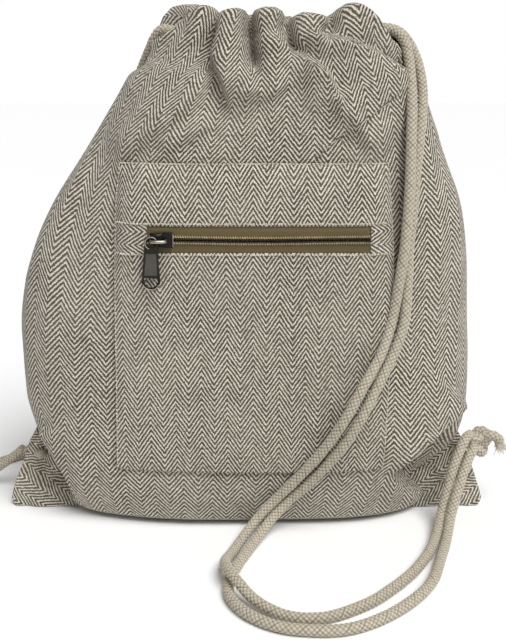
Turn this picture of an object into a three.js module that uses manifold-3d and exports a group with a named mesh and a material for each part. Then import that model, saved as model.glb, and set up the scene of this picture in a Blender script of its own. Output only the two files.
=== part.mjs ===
// Drawstring backpack of herringbone cotton with a zipped front pocket.
//
// Millimetres, +Z up, front towards -Y, origin on the floor under the middle of the bag.
// Two panels make a hollow body. Two hem casings close its neck, and two cords run
// through both casings: one leaves on the right, the other on the left. The two ends of
// each cord come down as shoulder strands to an eyelet in the bag's lower corner.

import * as THREE from 'three';
import { mergeVertices } from 'three/addons/utils/BufferGeometryUtils.js';
import Module from 'manifold-3d';

// ---- Driving dimensions ----

const GAP = 0.3; // between pieces that touch
const CLOTH = 4; // wall of the body panels
const POCKET_CLOTH = 1.4; // wall of the pocket patch
const NECK_HEIGHT = 337; // where the body ends and the casings begin

// Outline of the body: height, half width, half depth, middle in X, roundness exponent.
const BODY_OUTLINE = [
  [0, 132, 38, 0, 2.8],
  [5, 141, 48, 0, 2.8],
  [20, 146, 55, 0, 2.9],
  [35, 152, 59, 0, 3.0],
  [50, 160, 61, 1, 3.0],
  [64, 166, 62, 1, 3.0],
  [85, 168, 62, 1, 3.0],
  [115, 169, 61.5, 1, 3.0],
  [155, 167, 60, 0, 3.0],
  [200, 158, 57, 3, 3.0],
  [236, 146, 53, 7, 2.8],
  [272, 130, 48, 10, 2.6],
  [305, 113, 43, 16, 2.4],
  [325, 100, 38, 17, 2.2],
  [NECK_HEIGHT, 90, 34, 15, 2.2],
];
const BODY_COLUMNS = 24;

// Hem casings: a flattened tube along each lip of the mouth, with a tunnel for two cords.
const CASING = { middleX: 13, halfSpan: 80, endY: 10, bow: 22, height: 28, width: 14.4, wall: 2, steps: 18 };

// Cords.
const CORD = 7.6; // diameter
const CORD_SIDES = 8;
const CORD_STEP = 17; // length of one straight piece of the plain tube
const CASING_CORD_STEP = 11; // the same inside the casings, where it bends more
const CORD_LEVELS = { left: -4.3, right: 4.3 }; // above the middle of the casing

// Pocket patch: its edges, the zip opening in it, and how far it stands off the body.
const POCKET = { left: -90, right: 98, bottom: 50, top: 266, lift: 11, margin: 20, rise: 40, seat: 1.2 };
const ZIP = { left: -66, right: 84, bottom: 209, top: 227, middle: 218 };
const TAPE = { thickness: 0.6, split: 1.0, sink: 0.6 }; // sink is below the pocket cloth's face
const COIL = { width: 2.1, height: 1.6, split: 0.7, bevel: 0.5 }; // split is half the slit between the rows

// Zip slider and its puller.
const SLIDER = { x: -55, length: 13, width: 9.6, plate: 1.1, post: 0.8, postLength: 4 };
const CROWN = { left: -63.5, right: -52.5, rise: 6.2, bar: 1.3, leg: 1.8, width: 2.4 };
const PULLER = {
  eyeRadius: 4.7, holeRadius: 3.0, drop: 1, shoulder: -6, neck: 9.4,
  foot: 12.6, rim: 1.6, length: 37, thickness: 1.8,
};

// Lower corners: outer edge as height and X, and the eyelet that the cord is tied in.
const CORNER_EDGE = [[0, 178], [5, 182], [20, 178], [35, 173], [50, 168], [62, 161]];
const CORNER = { foot: 9, tip: 5, footY: -19, tipY: -9, clearance: 1.4, columns: 5 };
const EYELET = { x: 163.3, z: 43, radius: 4.6, bore: 60 };

// Right knot: beside the corner, with its loop round the corner's edge and a short tail.
const RIGHT_KNOT = { x: 179.5, y: -12, z: 53, radii: [11, 11, 10.5], loopRadius: 10, loopCord: 3.6 };
const RIGHT_KNOT_TAIL = [197, -13, 58];

// Left knot: behind the corner, with its neck in the eyelet.
const LEFT_KNOT = { x: -168, y: 9, z: 40, radius: 10, neck: 3.6, neckFront: -10 };

// Routes of the free strands, from the casing to the knot, chosen by hand.
const RIGHT_FRONT_ROUTE = [
  [93.6, -9.7, 355.8], [100.5, -9.5, 354.7], [106.2, -10.8, 350.8], [110, -13.5, 344.5],
  [111.7, -18, 335], [112.5, -24, 322.5], [112.3, -33.5, 303], [111.5, -39.5, 288],
  [110.5, -45.5, 265], [109.5, -51, 240],
  [108, -55, 215], [105, -57.5, 190], [100.5, -61, 160], [93, -69, 139], [81, -77, 119], [70, -79, 98],
  [59, -75.5, 78], [46, -70, 58], [33, -65.5, 41], [19, -62.5, 25], [7, -66.5, 12.5], [-2.5, -80, 5.5],
  [-9, -97, 4.3], [-13.5, -114, 7], [-12.5, -131, 12.3], [-6, -147, 12.3], [6, -162.5, 7], [24, -175, 4.1],
  [46, -178.5, 4.1], [76, -163, 4.1], [97, -142.5, 4.1], [114, -121, 4.1], [129, -94, 4.3], [138, -71, 6],
  [144, -54, 13], [149, -46, 27], [153, -41.5, 41], [158.5, -36, 53], [165, -27, 60.5], [170.2, -18.3, 60],
];
const RIGHT_REAR_ROUTE = [
  [93.4, 9.8, 355.6], [99.5, 6.8, 356], [107, 1.5, 353.5], [113.5, -4, 346], [118, -9.5, 336],
  [120.5, -16.5, 324], [121.5, -23.5, 311], [121, -31, 297], [119.5, -40.5, 278], [117.5, -52, 255],
  [116.5, -57, 232], [115, -60, 208], [112.5, -61.5, 182], [109.5, -62.5, 158], [102, -66.5, 139],
  [91.5, -73.5, 119], [81, -78, 98], [70.5, -76, 78], [57, -70.5, 57], [44, -65.5, 40], [30, -62, 25],
  [17.5, -66.5, 12.5], [7.5, -81, 5.5], [-0.5, -100, 4.1], [-7, -120, 4.1], [-11, -138, 4.1],
  [-9, -156, 4.1], [2, -174, 4.1], [20, -187, 4.1], [41, -191.5, 4.1], [62, -190, 4.1], [84, -178.5, 4.1],
  [104, -161, 4.1], [122, -137, 4.1], [137, -106, 4.3], [147, -78, 6], [154, -60, 13], [160, -48, 26],
  [165.5, -38, 39], [169.7, -31, 47], [173.5, -23, 52],
];
const LEFT_FRONT_ROUTE = [
  [-67.4, -9.8, 347], [-74, -7, 346], [-79, -2, 341.5], [-82.5, 6, 334], [-84, 15.5, 324],
  [-84.6, 26.5, 311], [-84.6, 36, 296], [-84, 45, 272], [-84, 52.5, 236], [-84.5, 58.5, 200],
  [-84, 62, 165], [-82, 63.8, 130], [-79.5, 65, 95], [-75, 65, 62], [-70, 62.5, 38], [-64, 61, 22],
  [-57.5, 68, 10], [-52.5, 89, 4.6], [-51, 112, 4.1], [-51.5, 138, 4.1], [-58, 165, 4.1],
  [-73, 186, 4.1], [-96, 195, 4.1], [-120, 188, 4.1], [-136, 168, 4.1], [-143, 141, 4.1],
  [-147, 115, 4.1], [-153, 92, 4.1], [-161, 72, 4.6], [-167, 56, 9], [-169.5, 43, 18],
  [-169.5, 31.5, 29], [-168.3, 20, 37.2],
];
const LEFT_REAR_ROUTE = [
  [-67.4, 9.8, 347], [-72.2, 8.4, 345], [-75.8, 11.5, 339], [-76.3, 17.5, 331], [-75.8, 25, 321],
  [-75.5, 33, 309.5], [-75.5, 39, 295], [-75.5, 46.6, 272], [-75.5, 54, 236], [-76, 59.5, 200],
  [-75.5, 63, 165], [-73.5, 64.8, 130], [-71, 66, 95], [-66.5, 65.8, 62], [-61, 63.5, 38],
  [-55, 62, 22], [-48.5, 69.5, 10], [-43.5, 92, 4.6], [-40.5, 116, 4.1], [-39, 145, 4.1],
  [-45, 174, 4.1], [-63, 197, 4.1], [-96, 206, 4.1], [-128, 198, 4.1], [-147, 177, 4.1],
  [-155, 150, 4.1], [-160, 124, 4.1], [-170, 101, 4.1], [-185, 83, 4.1], [-202, 67, 4.1],
  [-217, 52, 4.2], [-223.5, 37, 5], [-217, 25.5, 8], [-205, 20.5, 14], [-193.5, 17, 22.5],
  [-184.5, 13.5, 30], [-178, 11, 36.2],
];

// ---- Materials ----

const HERRINGBONE = { color: 0xa79f8e, roughness: 0.92, metalness: 0 };
const COTTON_CORD = { color: 0xbfb59c, roughness: 0.95, metalness: 0 };
const ZIP_TAPE = { color: 0x6e6246, roughness: 0.85, metalness: 0 };
const ZIP_COIL = { color: 0x1d1a15, roughness: 0.45, metalness: 0 };
const GUNMETAL = { color: 0x4a443c, roughness: 0.35, metalness: 0.9 };

// ---- Geometry helpers ----

const wasm = await Module();
wasm.setup();

function lerp(low, high, t) {
  return low + (high - low) * t;
}

function smooth(t) {
  const clamped = THREE.MathUtils.clamp(t, 0, 1);
  return clamped * clamped * (3 - 2 * clamped);
}

// A closed solid between two grids. place(u, v, d) gives a point with u and v running
// from 0 to 1, on the outer grid for d = 0 and on the inner grid for d = 1.
function slab(place, columns, rows) {
  const positions = [];
  const index = [];
  const stride = columns + 1;
  const layer = stride * (rows + 1);
  for (let d = 0; d < 2; d += 1) {
    for (let row = 0; row <= rows; row += 1) {
      for (let column = 0; column <= columns; column += 1) {
        const point = place(column / columns, row / rows, d);
        positions.push(point.x, point.y, point.z);
      }
    }
  }
  const quad = (a, b, c, e) => index.push(a, b, c, a, c, e);
  for (let row = 0; row < rows; row += 1) {
    for (let column = 0; column < columns; column += 1) {
      const a = row * stride + column;
      quad(a, a + 1, a + stride + 1, a + stride);
      quad(layer + a, layer + a + stride, layer + a + stride + 1, layer + a + 1);
    }
  }
  for (let column = 0; column < columns; column += 1) {
    const top = rows * stride + column;
    quad(column, layer + column, layer + column + 1, column + 1);
    quad(top, top + 1, layer + top + 1, layer + top);
  }
  for (let row = 0; row < rows; row += 1) {
    const left = row * stride;
    const right = left + columns;
    quad(left, left + stride, layer + left + stride, layer + left);
    quad(right, layer + right, layer + right + stride, right + stride);
  }
  return facingOut(positions, index);
}

// A hollow tube with open ends. place(u, v, d) goes round the section with u and along
// the path with v, on the outside for d = 0 and inside the bore for d = 1.
function pipe(place, around, along) {
  const positions = [];
  const index = [];
  const layer = around * (along + 1);
  for (let d = 0; d < 2; d += 1) {
    for (let step = 0; step <= along; step += 1) {
      for (let side = 0; side < around; side += 1) {
        const point = place(side / around, step / along, d);
        positions.push(point.x, point.y, point.z);
      }
    }
  }
  const quad = (a, b, c, e) => index.push(a, b, c, a, c, e);
  for (let side = 0; side < around; side += 1) {
    const next = (side + 1) % around;
    for (let step = 0; step < along; step += 1) {
      const a = step * around + side;
      const b = step * around + next;
      quad(a, b, b + around, a + around);
      quad(layer + a, layer + a + around, layer + b + around, layer + b);
    }
    const end = along * around;
    quad(side, layer + side, layer + next, next);
    quad(end + side, end + next, layer + end + next, layer + end + side);
  }
  return facingOut(positions, index);
}

// Builds the geometry, turned inside out if its volume comes out negative.
function facingOut(positions, index) {
  let volume = 0;
  const corner = (i) => new THREE.Vector3().fromArray(positions, index[i] * 3);
  for (let i = 0; i < index.length; i += 3) {
    volume += corner(i).dot(corner(i + 1).cross(corner(i + 2)));
  }
  const order = volume < 0 ? index.slice().reverse() : index;
  const geometry = new THREE.BufferGeometry();
  geometry.setAttribute('position', new THREE.Float32BufferAttribute(positions, 3));
  geometry.setIndex(order);
  return geometry;
}

function toSolid(geometry) {
  const bare = geometry.clone();
  bare.deleteAttribute('normal');
  bare.deleteAttribute('uv');
  const merged = mergeVertices(bare, 1e-3);
  const vertProperties = new Float32Array(merged.attributes.position.array);
  const triVerts = new Uint32Array(merged.index.array);
  return new wasm.Manifold(new wasm.Mesh({ numProp: 3, vertProperties, triVerts }));
}

function toGeometry(solid) {
  const mesh = solid.getMesh();
  const geometry = new THREE.BufferGeometry();
  geometry.setAttribute('position', new THREE.BufferAttribute(mesh.vertProperties, 3));
  geometry.setIndex(new THREE.BufferAttribute(mesh.triVerts, 1));
  return geometry;
}

function join(geometries) {
  return toGeometry(geometries.map(toSolid).reduce((whole, solid) => whole.add(solid)));
}

function box(lowX, highX, lowY, highY, lowZ, highZ) {
  const geometry = new THREE.BoxGeometry(highX - lowX, highY - lowY, highZ - lowZ);
  return geometry.translate((lowX + highX) / 2, (lowY + highY) / 2, (lowZ + highZ) / 2);
}

function roundSection(radius, sides) {
  const points = [];
  for (let side = 0; side < sides; side += 1) {
    const angle = (2 * Math.PI * side) / sides;
    points.push(new THREE.Vector2(radius * Math.cos(angle), radius * Math.sin(angle)));
  }
  return new THREE.Shape(points);
}

function cordAlong(curve, step = CORD_STEP) {
  const steps = Math.ceil(curve.getLength() / step);
  const section = roundSection(CORD / 2, CORD_SIDES);
  return new THREE.ExtrudeGeometry(section, { steps, extrudePath: curve, bevelEnabled: false });
}

function curveThrough(points) {
  return new THREE.CatmullRomCurve3(points.map((point) => new THREE.Vector3(...point)), false, 'centripetal');
}

// ---- Body panels ----

// Half width, half depth, middle and exponent of the body's section at a height.
function sectionAt(z) {
  const height = THREE.MathUtils.clamp(z, 0, NECK_HEIGHT);
  const upper = Math.max(1, BODY_OUTLINE.findIndex((row) => row[0] >= height));
  const low = BODY_OUTLINE[upper - 1];
  const high = BODY_OUTLINE[upper];
  const t = (height - low[0]) / (high[0] - low[0]);
  const [halfWidth, halfDepth, middle, exponent] = [1, 2, 3, 4].map((i) => lerp(low[i], high[i], t));
  return { halfWidth, halfDepth, middle, exponent };
}

// Distance of the body's front from the plane of the side seams.
function bodyDepth(x, z) {
  const { halfWidth, halfDepth, middle, exponent } = sectionAt(z);
  const across = Math.min(1, Math.abs(x - middle) / halfWidth);
  return halfDepth * (1 - across ** exponent) ** (1 / exponent);
}

// side is -1 for the front panel and +1 for the back panel. The first rows run out from
// the bottom seam along the floor, and the others climb to the neck.
function bodyPanel(side) {
  const floorRows = [0, 0.55];
  const rows = floorRows.length + BODY_OUTLINE.length - 1;
  const place = (u, v, d) => {
    const row = Math.round(v * rows);
    const onFloor = row < floorRows.length;
    const z = onFloor ? 0 : BODY_OUTLINE[row - floorRows.length][0];
    const { halfWidth, halfDepth, middle, exponent } = sectionAt(z);
    const reach = onFloor ? floorRows[row] : 1;
    const angle = Math.PI * (1 - u);
    const power = 2 / exponent;
    const wide = halfWidth - d * CLOTH;
    const deep = Math.max(0, halfDepth * reach - d * CLOTH);
    const x = middle + wide * Math.sign(Math.cos(angle)) * Math.abs(Math.cos(angle)) ** power;
    const y = Math.max(GAP / 2, deep * Math.sin(angle) ** power);
    return new THREE.Vector3(x, side * y, d ? Math.max(z, CLOTH) : z);
  };
  return slab(place, BODY_COLUMNS, rows);
}

// ---- Casings ----

const casingMiddle = NECK_HEIGHT + GAP + CASING.height / 2;

// The middle of a casing in plan: a shallow bow from one side of the mouth to the other.
function casingPoint(side, t) {
  const across = lerp(-1, 1, t);
  const y = CASING.endY + CASING.bow * (1 - across * across);
  return new THREE.Vector3(CASING.middleX + CASING.halfSpan * across, side * y, casingMiddle);
}


function casing(side) {
  const corners = 16;
  const place = (u, v, d) => {
    const centre = casingPoint(side, v);
    const step = 0.01;
    const ahead = casingPoint(side, v + step).sub(casingPoint(side, v - step)).normalize();
    const across = new THREE.Vector3(-ahead.y, ahead.x, 0);
    const angle = 2 * Math.PI * (u + 0.5 / corners);
    const halfWidth = CASING.width / 2 - d * CASING.wall;
    const halfHeight = CASING.height / 2 - d * CASING.wall;
    const squareness = 0.45;
    const cos = Math.sign(Math.cos(angle)) * Math.abs(Math.cos(angle)) ** squareness;
    const sin = Math.sign(Math.sin(angle)) * Math.abs(Math.sin(angle)) ** squareness;
    return centre.addScaledVector(across, halfWidth * cos).add(new THREE.Vector3(0, 0, halfHeight * sin));
  };
  return pipe(place, corners, CASING.steps);
}

// The stretch of a cord inside both casings: it enters one casing at its own side, goes
// round past the far side of the mouth, and comes back through the other casing.
function casingRun(exitSide) {
  const points = [];
  const perLip = 8;
  const inset = 0.02;
  const level = CORD_LEVELS[exitSide > 0 ? 'right' : 'left'];
  for (const lip of [-1, 1]) {
    for (let i = 0; i <= perLip; i += 1) {
      const fromExit = Math.max(inset, lip < 0 ? i / perLip : 1 - i / perLip);
      const t = exitSide > 0 ? 1 - fromExit : fromExit;
      points.push(casingPoint(lip, t).add(new THREE.Vector3(0, 0, level)).toArray());
    }
    if (lip < 0) {
      const bend = 6;
      points.push([CASING.middleX - exitSide * (CASING.halfSpan + bend), 0, casingMiddle + level]);
    }
  }
  return cordAlong(curveThrough(points), CASING_CORD_STEP);
}

// ---- Pocket ----

// Distance of the pocket patch's front from the plane of the side seams. The patch is
// sewn down at its sides, top and bottom and stands off the body as a flat face between.
function pocketDepth(x, z) {
  const upright = smooth((z - POCKET.bottom) / POCKET.rise) * smooth((POCKET.top - z) / POCKET.rise);
  const sideways = smooth((x - POCKET.left) / POCKET.margin) * smooth((POCKET.right - x) / POCKET.margin);
  const sewn = bodyDepth(x, z) + POCKET.seat + POCKET_CLOTH;
  const flat = sectionAt(z).halfDepth + POCKET.lift * upright;
  const steepness = 3;
  return sewn + Math.max(0, flat - sewn) * sideways * smooth(upright * steepness);
}

function pocketPatch(left, right, bottom, top, columns, rows) {
  const place = (u, v, d) => {
    const x = lerp(left, right, u);
    const z = lerp(bottom, top, v);
    return new THREE.Vector3(x, d * POCKET_CLOTH - pocketDepth(x, z), z);
  };
  return slab(place, columns, rows);
}

// ---- Zip ----

// The zip lies in one plane just behind the edges of the opening.
const zipPlane = -(pocketDepth((ZIP.left + ZIP.right) / 2, ZIP.middle) - POCKET_CLOTH - TAPE.sink);

function zipTape(side) {
  const near = ZIP.middle + side * TAPE.split;
  const far = side > 0 ? ZIP.top - GAP : ZIP.bottom + GAP;
  const low = Math.min(near, far);
  const high = Math.max(near, far);
  return box(ZIP.left + GAP, ZIP.right - GAP, zipPlane, zipPlane + TAPE.thickness, low, high);
}

// One row of zip coil, a half-round bead on the tape's inner edge.
function zipCoil(side) {
  const bead = new THREE.Shape();
  const inner = side * COIL.split;
  const outer = side * (COIL.split + COIL.width);
  const front = zipPlane - GAP - COIL.height;
  bead.moveTo(inner, zipPlane - GAP);
  bead.lineTo(inner, front + COIL.bevel);
  bead.lineTo(inner + side * COIL.bevel, front);
  bead.lineTo(outer - side * COIL.bevel, front);
  bead.lineTo(outer, front + COIL.bevel);
  bead.lineTo(outer, zipPlane - GAP);
  const length = ZIP.right - ZIP.left - 2 * GAP;
  const geometry = new THREE.ExtrudeGeometry(bead, { depth: length, bevelEnabled: false });
  const turn = new THREE.Matrix4().makeBasis(
    new THREE.Vector3(0, 0, 1),
    new THREE.Vector3(0, 1, 0),
    new THREE.Vector3(-1, 0, 0),
  );
  return geometry.applyMatrix4(turn).translate(ZIP.right - GAP, 0, ZIP.middle);
}

const sliderFront = zipPlane - GAP - COIL.height - GAP - SLIDER.plate;

// Two plates, one in front of the coil and one behind the tapes, on a thin post that runs
// between the two rows, with a crown for the puller.
function zipSlider() {
  const left = SLIDER.x - SLIDER.length / 2;
  const right = SLIDER.x + SLIDER.length / 2;
  const low = ZIP.middle - SLIDER.width / 2;
  const high = ZIP.middle + SLIDER.width / 2;
  const back = zipPlane + TAPE.thickness + GAP;
  const overlap = 0.1; // makes the slider's parts one solid
  const frontPlate = box(left, right, sliderFront, sliderFront + SLIDER.plate, low, high);
  const backPlate = box(left, right, back, back + SLIDER.plate, low, high);
  const post = box(
    SLIDER.x - SLIDER.postLength / 2,
    SLIDER.x + SLIDER.postLength / 2,
    sliderFront + SLIDER.plate - overlap,
    back + overlap,
    ZIP.middle - SLIDER.post / 2,
    ZIP.middle + SLIDER.post / 2,
  );
  const crownTop = sliderFront - CROWN.rise;
  const crownLow = ZIP.middle - CROWN.width / 2;
  const crownHigh = ZIP.middle + CROWN.width / 2;
  const crownPart = (from, to, front, back) => box(from, to, front, back, crownLow, crownHigh);
  const nose = crownPart(CROWN.left, left + overlap, sliderFront, sliderFront + SLIDER.plate);
  const leftLeg = crownPart(CROWN.left, CROWN.left + CROWN.leg, crownTop, sliderFront + overlap);
  const rightLeg = crownPart(CROWN.right - CROWN.leg, CROWN.right, crownTop, sliderFront + overlap);
  const bar = crownPart(CROWN.left, CROWN.right, crownTop, crownTop + CROWN.bar);
  return join([frontPlate, backPlate, post, nose, leftLeg, rightLeg, bar]);
}

const pullerPivot = {
  x: CROWN.left + CROWN.leg / 2,
  y: sliderFront - CROWN.rise + CROWN.bar + GAP + PULLER.thickness / 2,
  z: ZIP.middle - PULLER.drop,
};

// A flat tab that hangs from the crown's left leg by a round eye.
function zipPuller() {
  const outline = new THREE.Shape();
  const footCentre = PULLER.eyeRadius - PULLER.length + PULLER.foot / 2;
  outline.absarc(0, 0, PULLER.eyeRadius, 0, Math.PI, false);
  outline.lineTo(-PULLER.neck / 2, PULLER.shoulder);
  outline.lineTo(-PULLER.foot / 2, footCentre);
  outline.absarc(0, footCentre, PULLER.foot / 2, Math.PI, 2 * Math.PI, false);
  outline.lineTo(PULLER.neck / 2, PULLER.shoulder);
  const eye = new THREE.Path();
  eye.absarc(0, 0, PULLER.holeRadius, 0, 2 * Math.PI, true);
  outline.holes.push(eye);
  const window = new THREE.Path();
  const windowRadius = PULLER.foot / 2 - PULLER.rim;
  window.absarc(0, footCentre, windowRadius, Math.PI, 2 * Math.PI, false);
  outline.holes.push(window);
  const options = { depth: PULLER.thickness, bevelEnabled: false, curveSegments: 8 };
  const geometry = new THREE.ExtrudeGeometry(outline, options);
  geometry.rotateX(Math.PI / 2);
  return geometry.translate(pullerPivot.x, pullerPivot.y + PULLER.thickness / 2, pullerPivot.z);
}

// ---- Lower corners and knots ----

function cornerEdge(z) {
  const upper = Math.max(1, CORNER_EDGE.findIndex((row) => row[0] >= z));
  const low = CORNER_EDGE[upper - 1];
  const high = CORNER_EDGE[upper];
  return lerp(low[1], high[1], (z - low[0]) / (high[0] - low[0]));
}

// The empty corner of the bag, folded flat beside the filled body, with its eyelet.
function corner(side) {
  const heights = CORNER_EDGE.map((row) => row[0]);
  const place = (u, v, d) => {
    const z = heights[Math.round(v * (heights.length - 1))];
    const t = z / heights[heights.length - 1];
    const thickness = lerp(CORNER.foot, CORNER.tip, smooth(t));
    const y = lerp(CORNER.footY, CORNER.tipY, t) + (d - 0.5) * thickness;
    const { halfWidth, halfDepth, middle, exponent } = sectionAt(z);
    const bodySide = halfWidth * (1 - (Math.abs(y) / halfDepth) ** exponent) ** (1 / exponent);
    const inner = bodySide + side * middle + CORNER.clearance;
    return new THREE.Vector3(side * lerp(inner, cornerEdge(z), u), y, z);
  };
  const flap = slab(place, CORNER.columns, heights.length - 1);
  const hole = new THREE.CylinderGeometry(EYELET.radius, EYELET.radius, EYELET.bore, 16);
  hole.translate(side * EYELET.x, 0, EYELET.z);
  return toGeometry(toSolid(flap).subtract(toSolid(hole)));
}

function ball(x, y, z, radii) {
  const geometry = new THREE.SphereGeometry(1, 14, 9);
  geometry.rotateX(Math.PI / 2);
  return geometry.scale(...radii).translate(x, y, z);
}

// The right strands tied together: a loop of cord through the eyelet, the knot, its tail.
function rightKnot() {
  const { x, y, z, radii, loopRadius, loopCord } = RIGHT_KNOT;
  const loop = new THREE.TorusGeometry(loopRadius, loopCord, 8, 18);
  loop.translate(EYELET.x + loopRadius, y, EYELET.z);
  const tail = cordAlong(curveThrough([[x, y, z], RIGHT_KNOT_TAIL]));
  return join([loop, ball(x, y, z, radii), tail]);
}

function leftKnot() {
  const { x, y, z, radius, neck, neckFront } = LEFT_KNOT;
  const stub = new THREE.CylinderGeometry(neck, neck, y - neckFront, 10);
  stub.translate(-EYELET.x, (y + neckFront) / 2, EYELET.z);
  return join([ball(x, y, z, [radius, radius, radius]), stub]);
}

// ---- Assembly ----

const backpack = new THREE.Group();

function add(name, geometry, look) {
  const mesh = new THREE.Mesh(geometry, new THREE.MeshStandardMaterial(look));
  mesh.name = name;
  backpack.add(mesh);
}

add('front_panel', bodyPanel(-1), HERRINGBONE);
add('back_panel', bodyPanel(1), HERRINGBONE);
add('front_casing', casing(-1), HERRINGBONE);
add('back_casing', casing(1), HERRINGBONE);
add('left_corner', corner(-1), HERRINGBONE);
add('right_corner', corner(1), HERRINGBONE);

add(
  'pocket_upper_panel',
  pocketPatch(POCKET.left, POCKET.right, ZIP.top, POCKET.top, 20, 5),
  HERRINGBONE,
);
add(
  'pocket_lower_panel',
  pocketPatch(POCKET.left, POCKET.right, POCKET.bottom, ZIP.bottom, 20, 14),
  HERRINGBONE,
);
const tabLow = ZIP.bottom + GAP;
const tabHigh = ZIP.top - GAP;
add('pocket_left_tab', pocketPatch(POCKET.left, ZIP.left, tabLow, tabHigh, 4, 2), HERRINGBONE);
add('pocket_right_tab', pocketPatch(ZIP.right, POCKET.right, tabLow, tabHigh, 4, 2), HERRINGBONE);

add('zip_tape_upper', zipTape(1), ZIP_TAPE);
add('zip_tape_lower', zipTape(-1), ZIP_TAPE);
add('zip_coil_upper', zipCoil(1), ZIP_COIL);
add('zip_coil_lower', zipCoil(-1), ZIP_COIL);
add('zip_slider', zipSlider(), GUNMETAL);
add('zip_puller', zipPuller(), GUNMETAL);

add('right_cord_in_casing', casingRun(1), COTTON_CORD);
add('left_cord_in_casing', casingRun(-1), COTTON_CORD);
add('right_strand_front', cordAlong(curveThrough(RIGHT_FRONT_ROUTE)), COTTON_CORD);
add('right_strand_rear', cordAlong(curveThrough(RIGHT_REAR_ROUTE)), COTTON_CORD);
add('left_strand_front', cordAlong(curveThrough(LEFT_FRONT_ROUTE)), COTTON_CORD);
add('left_strand_rear', cordAlong(curveThrough(LEFT_REAR_ROUTE)), COTTON_CORD);
add('right_knot', rightKnot(), COTTON_CORD);
add('left_knot', leftKnot(), COTTON_CORD);

// The origin is under the middle of the bag's whole depth, from the zip's crown to the back.
const frontmost = sliderFront - CROWN.rise;
const rearmost = Math.max(...BODY_OUTLINE.map((row) => row[2]));
backpack.position.y = -(frontmost + rearmost) / 2;

export default backpack;
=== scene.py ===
"""Drawstring backpack of herringbone cotton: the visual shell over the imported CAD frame."""

import math

import bpy
import numpy as np
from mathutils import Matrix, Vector


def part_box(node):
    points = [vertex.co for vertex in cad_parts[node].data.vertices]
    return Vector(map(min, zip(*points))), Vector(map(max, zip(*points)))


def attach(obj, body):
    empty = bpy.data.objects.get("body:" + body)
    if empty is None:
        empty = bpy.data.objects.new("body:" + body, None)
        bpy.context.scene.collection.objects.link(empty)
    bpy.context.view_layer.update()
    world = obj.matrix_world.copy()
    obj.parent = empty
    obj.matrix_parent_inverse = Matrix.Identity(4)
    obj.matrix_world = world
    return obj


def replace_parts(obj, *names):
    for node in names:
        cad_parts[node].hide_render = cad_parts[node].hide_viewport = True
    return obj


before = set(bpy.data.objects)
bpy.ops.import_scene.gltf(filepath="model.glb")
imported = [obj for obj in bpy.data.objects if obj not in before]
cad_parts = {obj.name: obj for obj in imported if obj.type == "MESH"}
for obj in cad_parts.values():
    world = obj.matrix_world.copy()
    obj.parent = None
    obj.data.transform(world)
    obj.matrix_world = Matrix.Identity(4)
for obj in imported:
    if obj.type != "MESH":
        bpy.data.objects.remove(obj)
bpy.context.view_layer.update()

MM = 0.001
# The CAD shifts the whole bag in Y so that its origin is central. The back panel starts 0.15 mm
# behind the seam plane, which is y = 0 in all the millimetre dimensions below.
SHIFT_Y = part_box("back_panel")[0][1] - 0.15 * MM


# ---- Small helpers ----

def smoothstep(low, high, value):
    t = np.clip((value - low) / (high - low), 0.0, 1.0)
    return t * t * (3 - 2 * t)


def metres(points):
    """Millimetre points in the bag's own frame as metre points in the row frame."""
    out = np.asarray(points, float) * MM
    out[..., 1] += SHIFT_Y
    return out


def table(rows, at):
    """Smooth interpolation in a table of rows whose first column is the position."""
    rows = np.asarray(rows, float)
    x, y = rows[:, 0], rows[:, 1:]
    slope = np.gradient(y, x, axis=0)
    at = np.clip(np.asarray(at, float), x[0], x[-1])
    i = np.clip(np.searchsorted(x, at, side="right") - 1, 0, len(x) - 2)
    h = (x[i + 1] - x[i])
    t = ((at - x[i]) / h)[..., None]
    h = h[..., None]
    return (
        (2 * t**3 - 3 * t**2 + 1) * y[i]
        + (t**3 - 2 * t**2 + t) * h * slope[i]
        + (3 * t**2 - 2 * t**3) * y[i + 1]
        + (t**3 - t**2) * h * slope[i + 1]
    )


def lattice(seed, size=64):
    return np.random.default_rng(seed).uniform(-1, 1, (size, size))


def noise(x, y, seed=0):
    """Smooth value noise between -1 and 1 at the points x, y, one cell per unit."""
    grid = lattice(seed)
    size = len(grid)
    xi, yi = np.floor(x).astype(int), np.floor(y).astype(int)
    fx, fy = x - xi, y - yi
    fx, fy = fx * fx * (3 - 2 * fx), fy * fy * (3 - 2 * fy)
    a = grid[xi % size, yi % size] * (1 - fx) + grid[(xi + 1) % size, yi % size] * fx
    b = grid[xi % size, (yi + 1) % size] * (1 - fx) + grid[(xi + 1) % size, (yi + 1) % size] * fx
    return a * (1 - fy) + b * fy


def new_object(name, verts, polygons, material, uvs, body="root"):
    """A smooth mesh from millimetre points and a list of polygon arrays. uvs are the cloth
    coordinates of the first array's corners; those of any others stay zero."""
    verts = np.asarray(verts, float)
    corners = np.concatenate([array.ravel() for array in polygons]).astype(np.int32)
    sizes = np.concatenate([np.full(len(array), array.shape[1]) for array in polygons])
    starts = np.concatenate([[0], np.cumsum(sizes)[:-1]]).astype(np.int32)
    flat = np.zeros((len(corners), 2), np.float32)
    flat[:uvs.size // 2] = uvs.reshape(-1, 2)
    mesh = bpy.data.meshes.new(name)
    mesh.vertices.add(len(verts))
    mesh.vertices.foreach_set("co", metres(verts).ravel())
    mesh.loops.add(len(corners))
    mesh.loops.foreach_set("vertex_index", corners)
    mesh.polygons.add(len(starts))
    mesh.polygons.foreach_set("loop_start", starts)
    mesh.update(calc_edges=True)
    mesh.validate()
    mesh.polygons.foreach_set("use_smooth", np.full(len(mesh.polygons), True))
    layer = mesh.uv_layers.new(name="cloth")
    layer.data.foreach_set("uv", flat.ravel())
    mesh.materials.append(material)
    piece = bpy.data.objects.new(name, mesh)
    bpy.context.scene.collection.objects.link(piece)
    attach(piece, body)
    return piece


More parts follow.
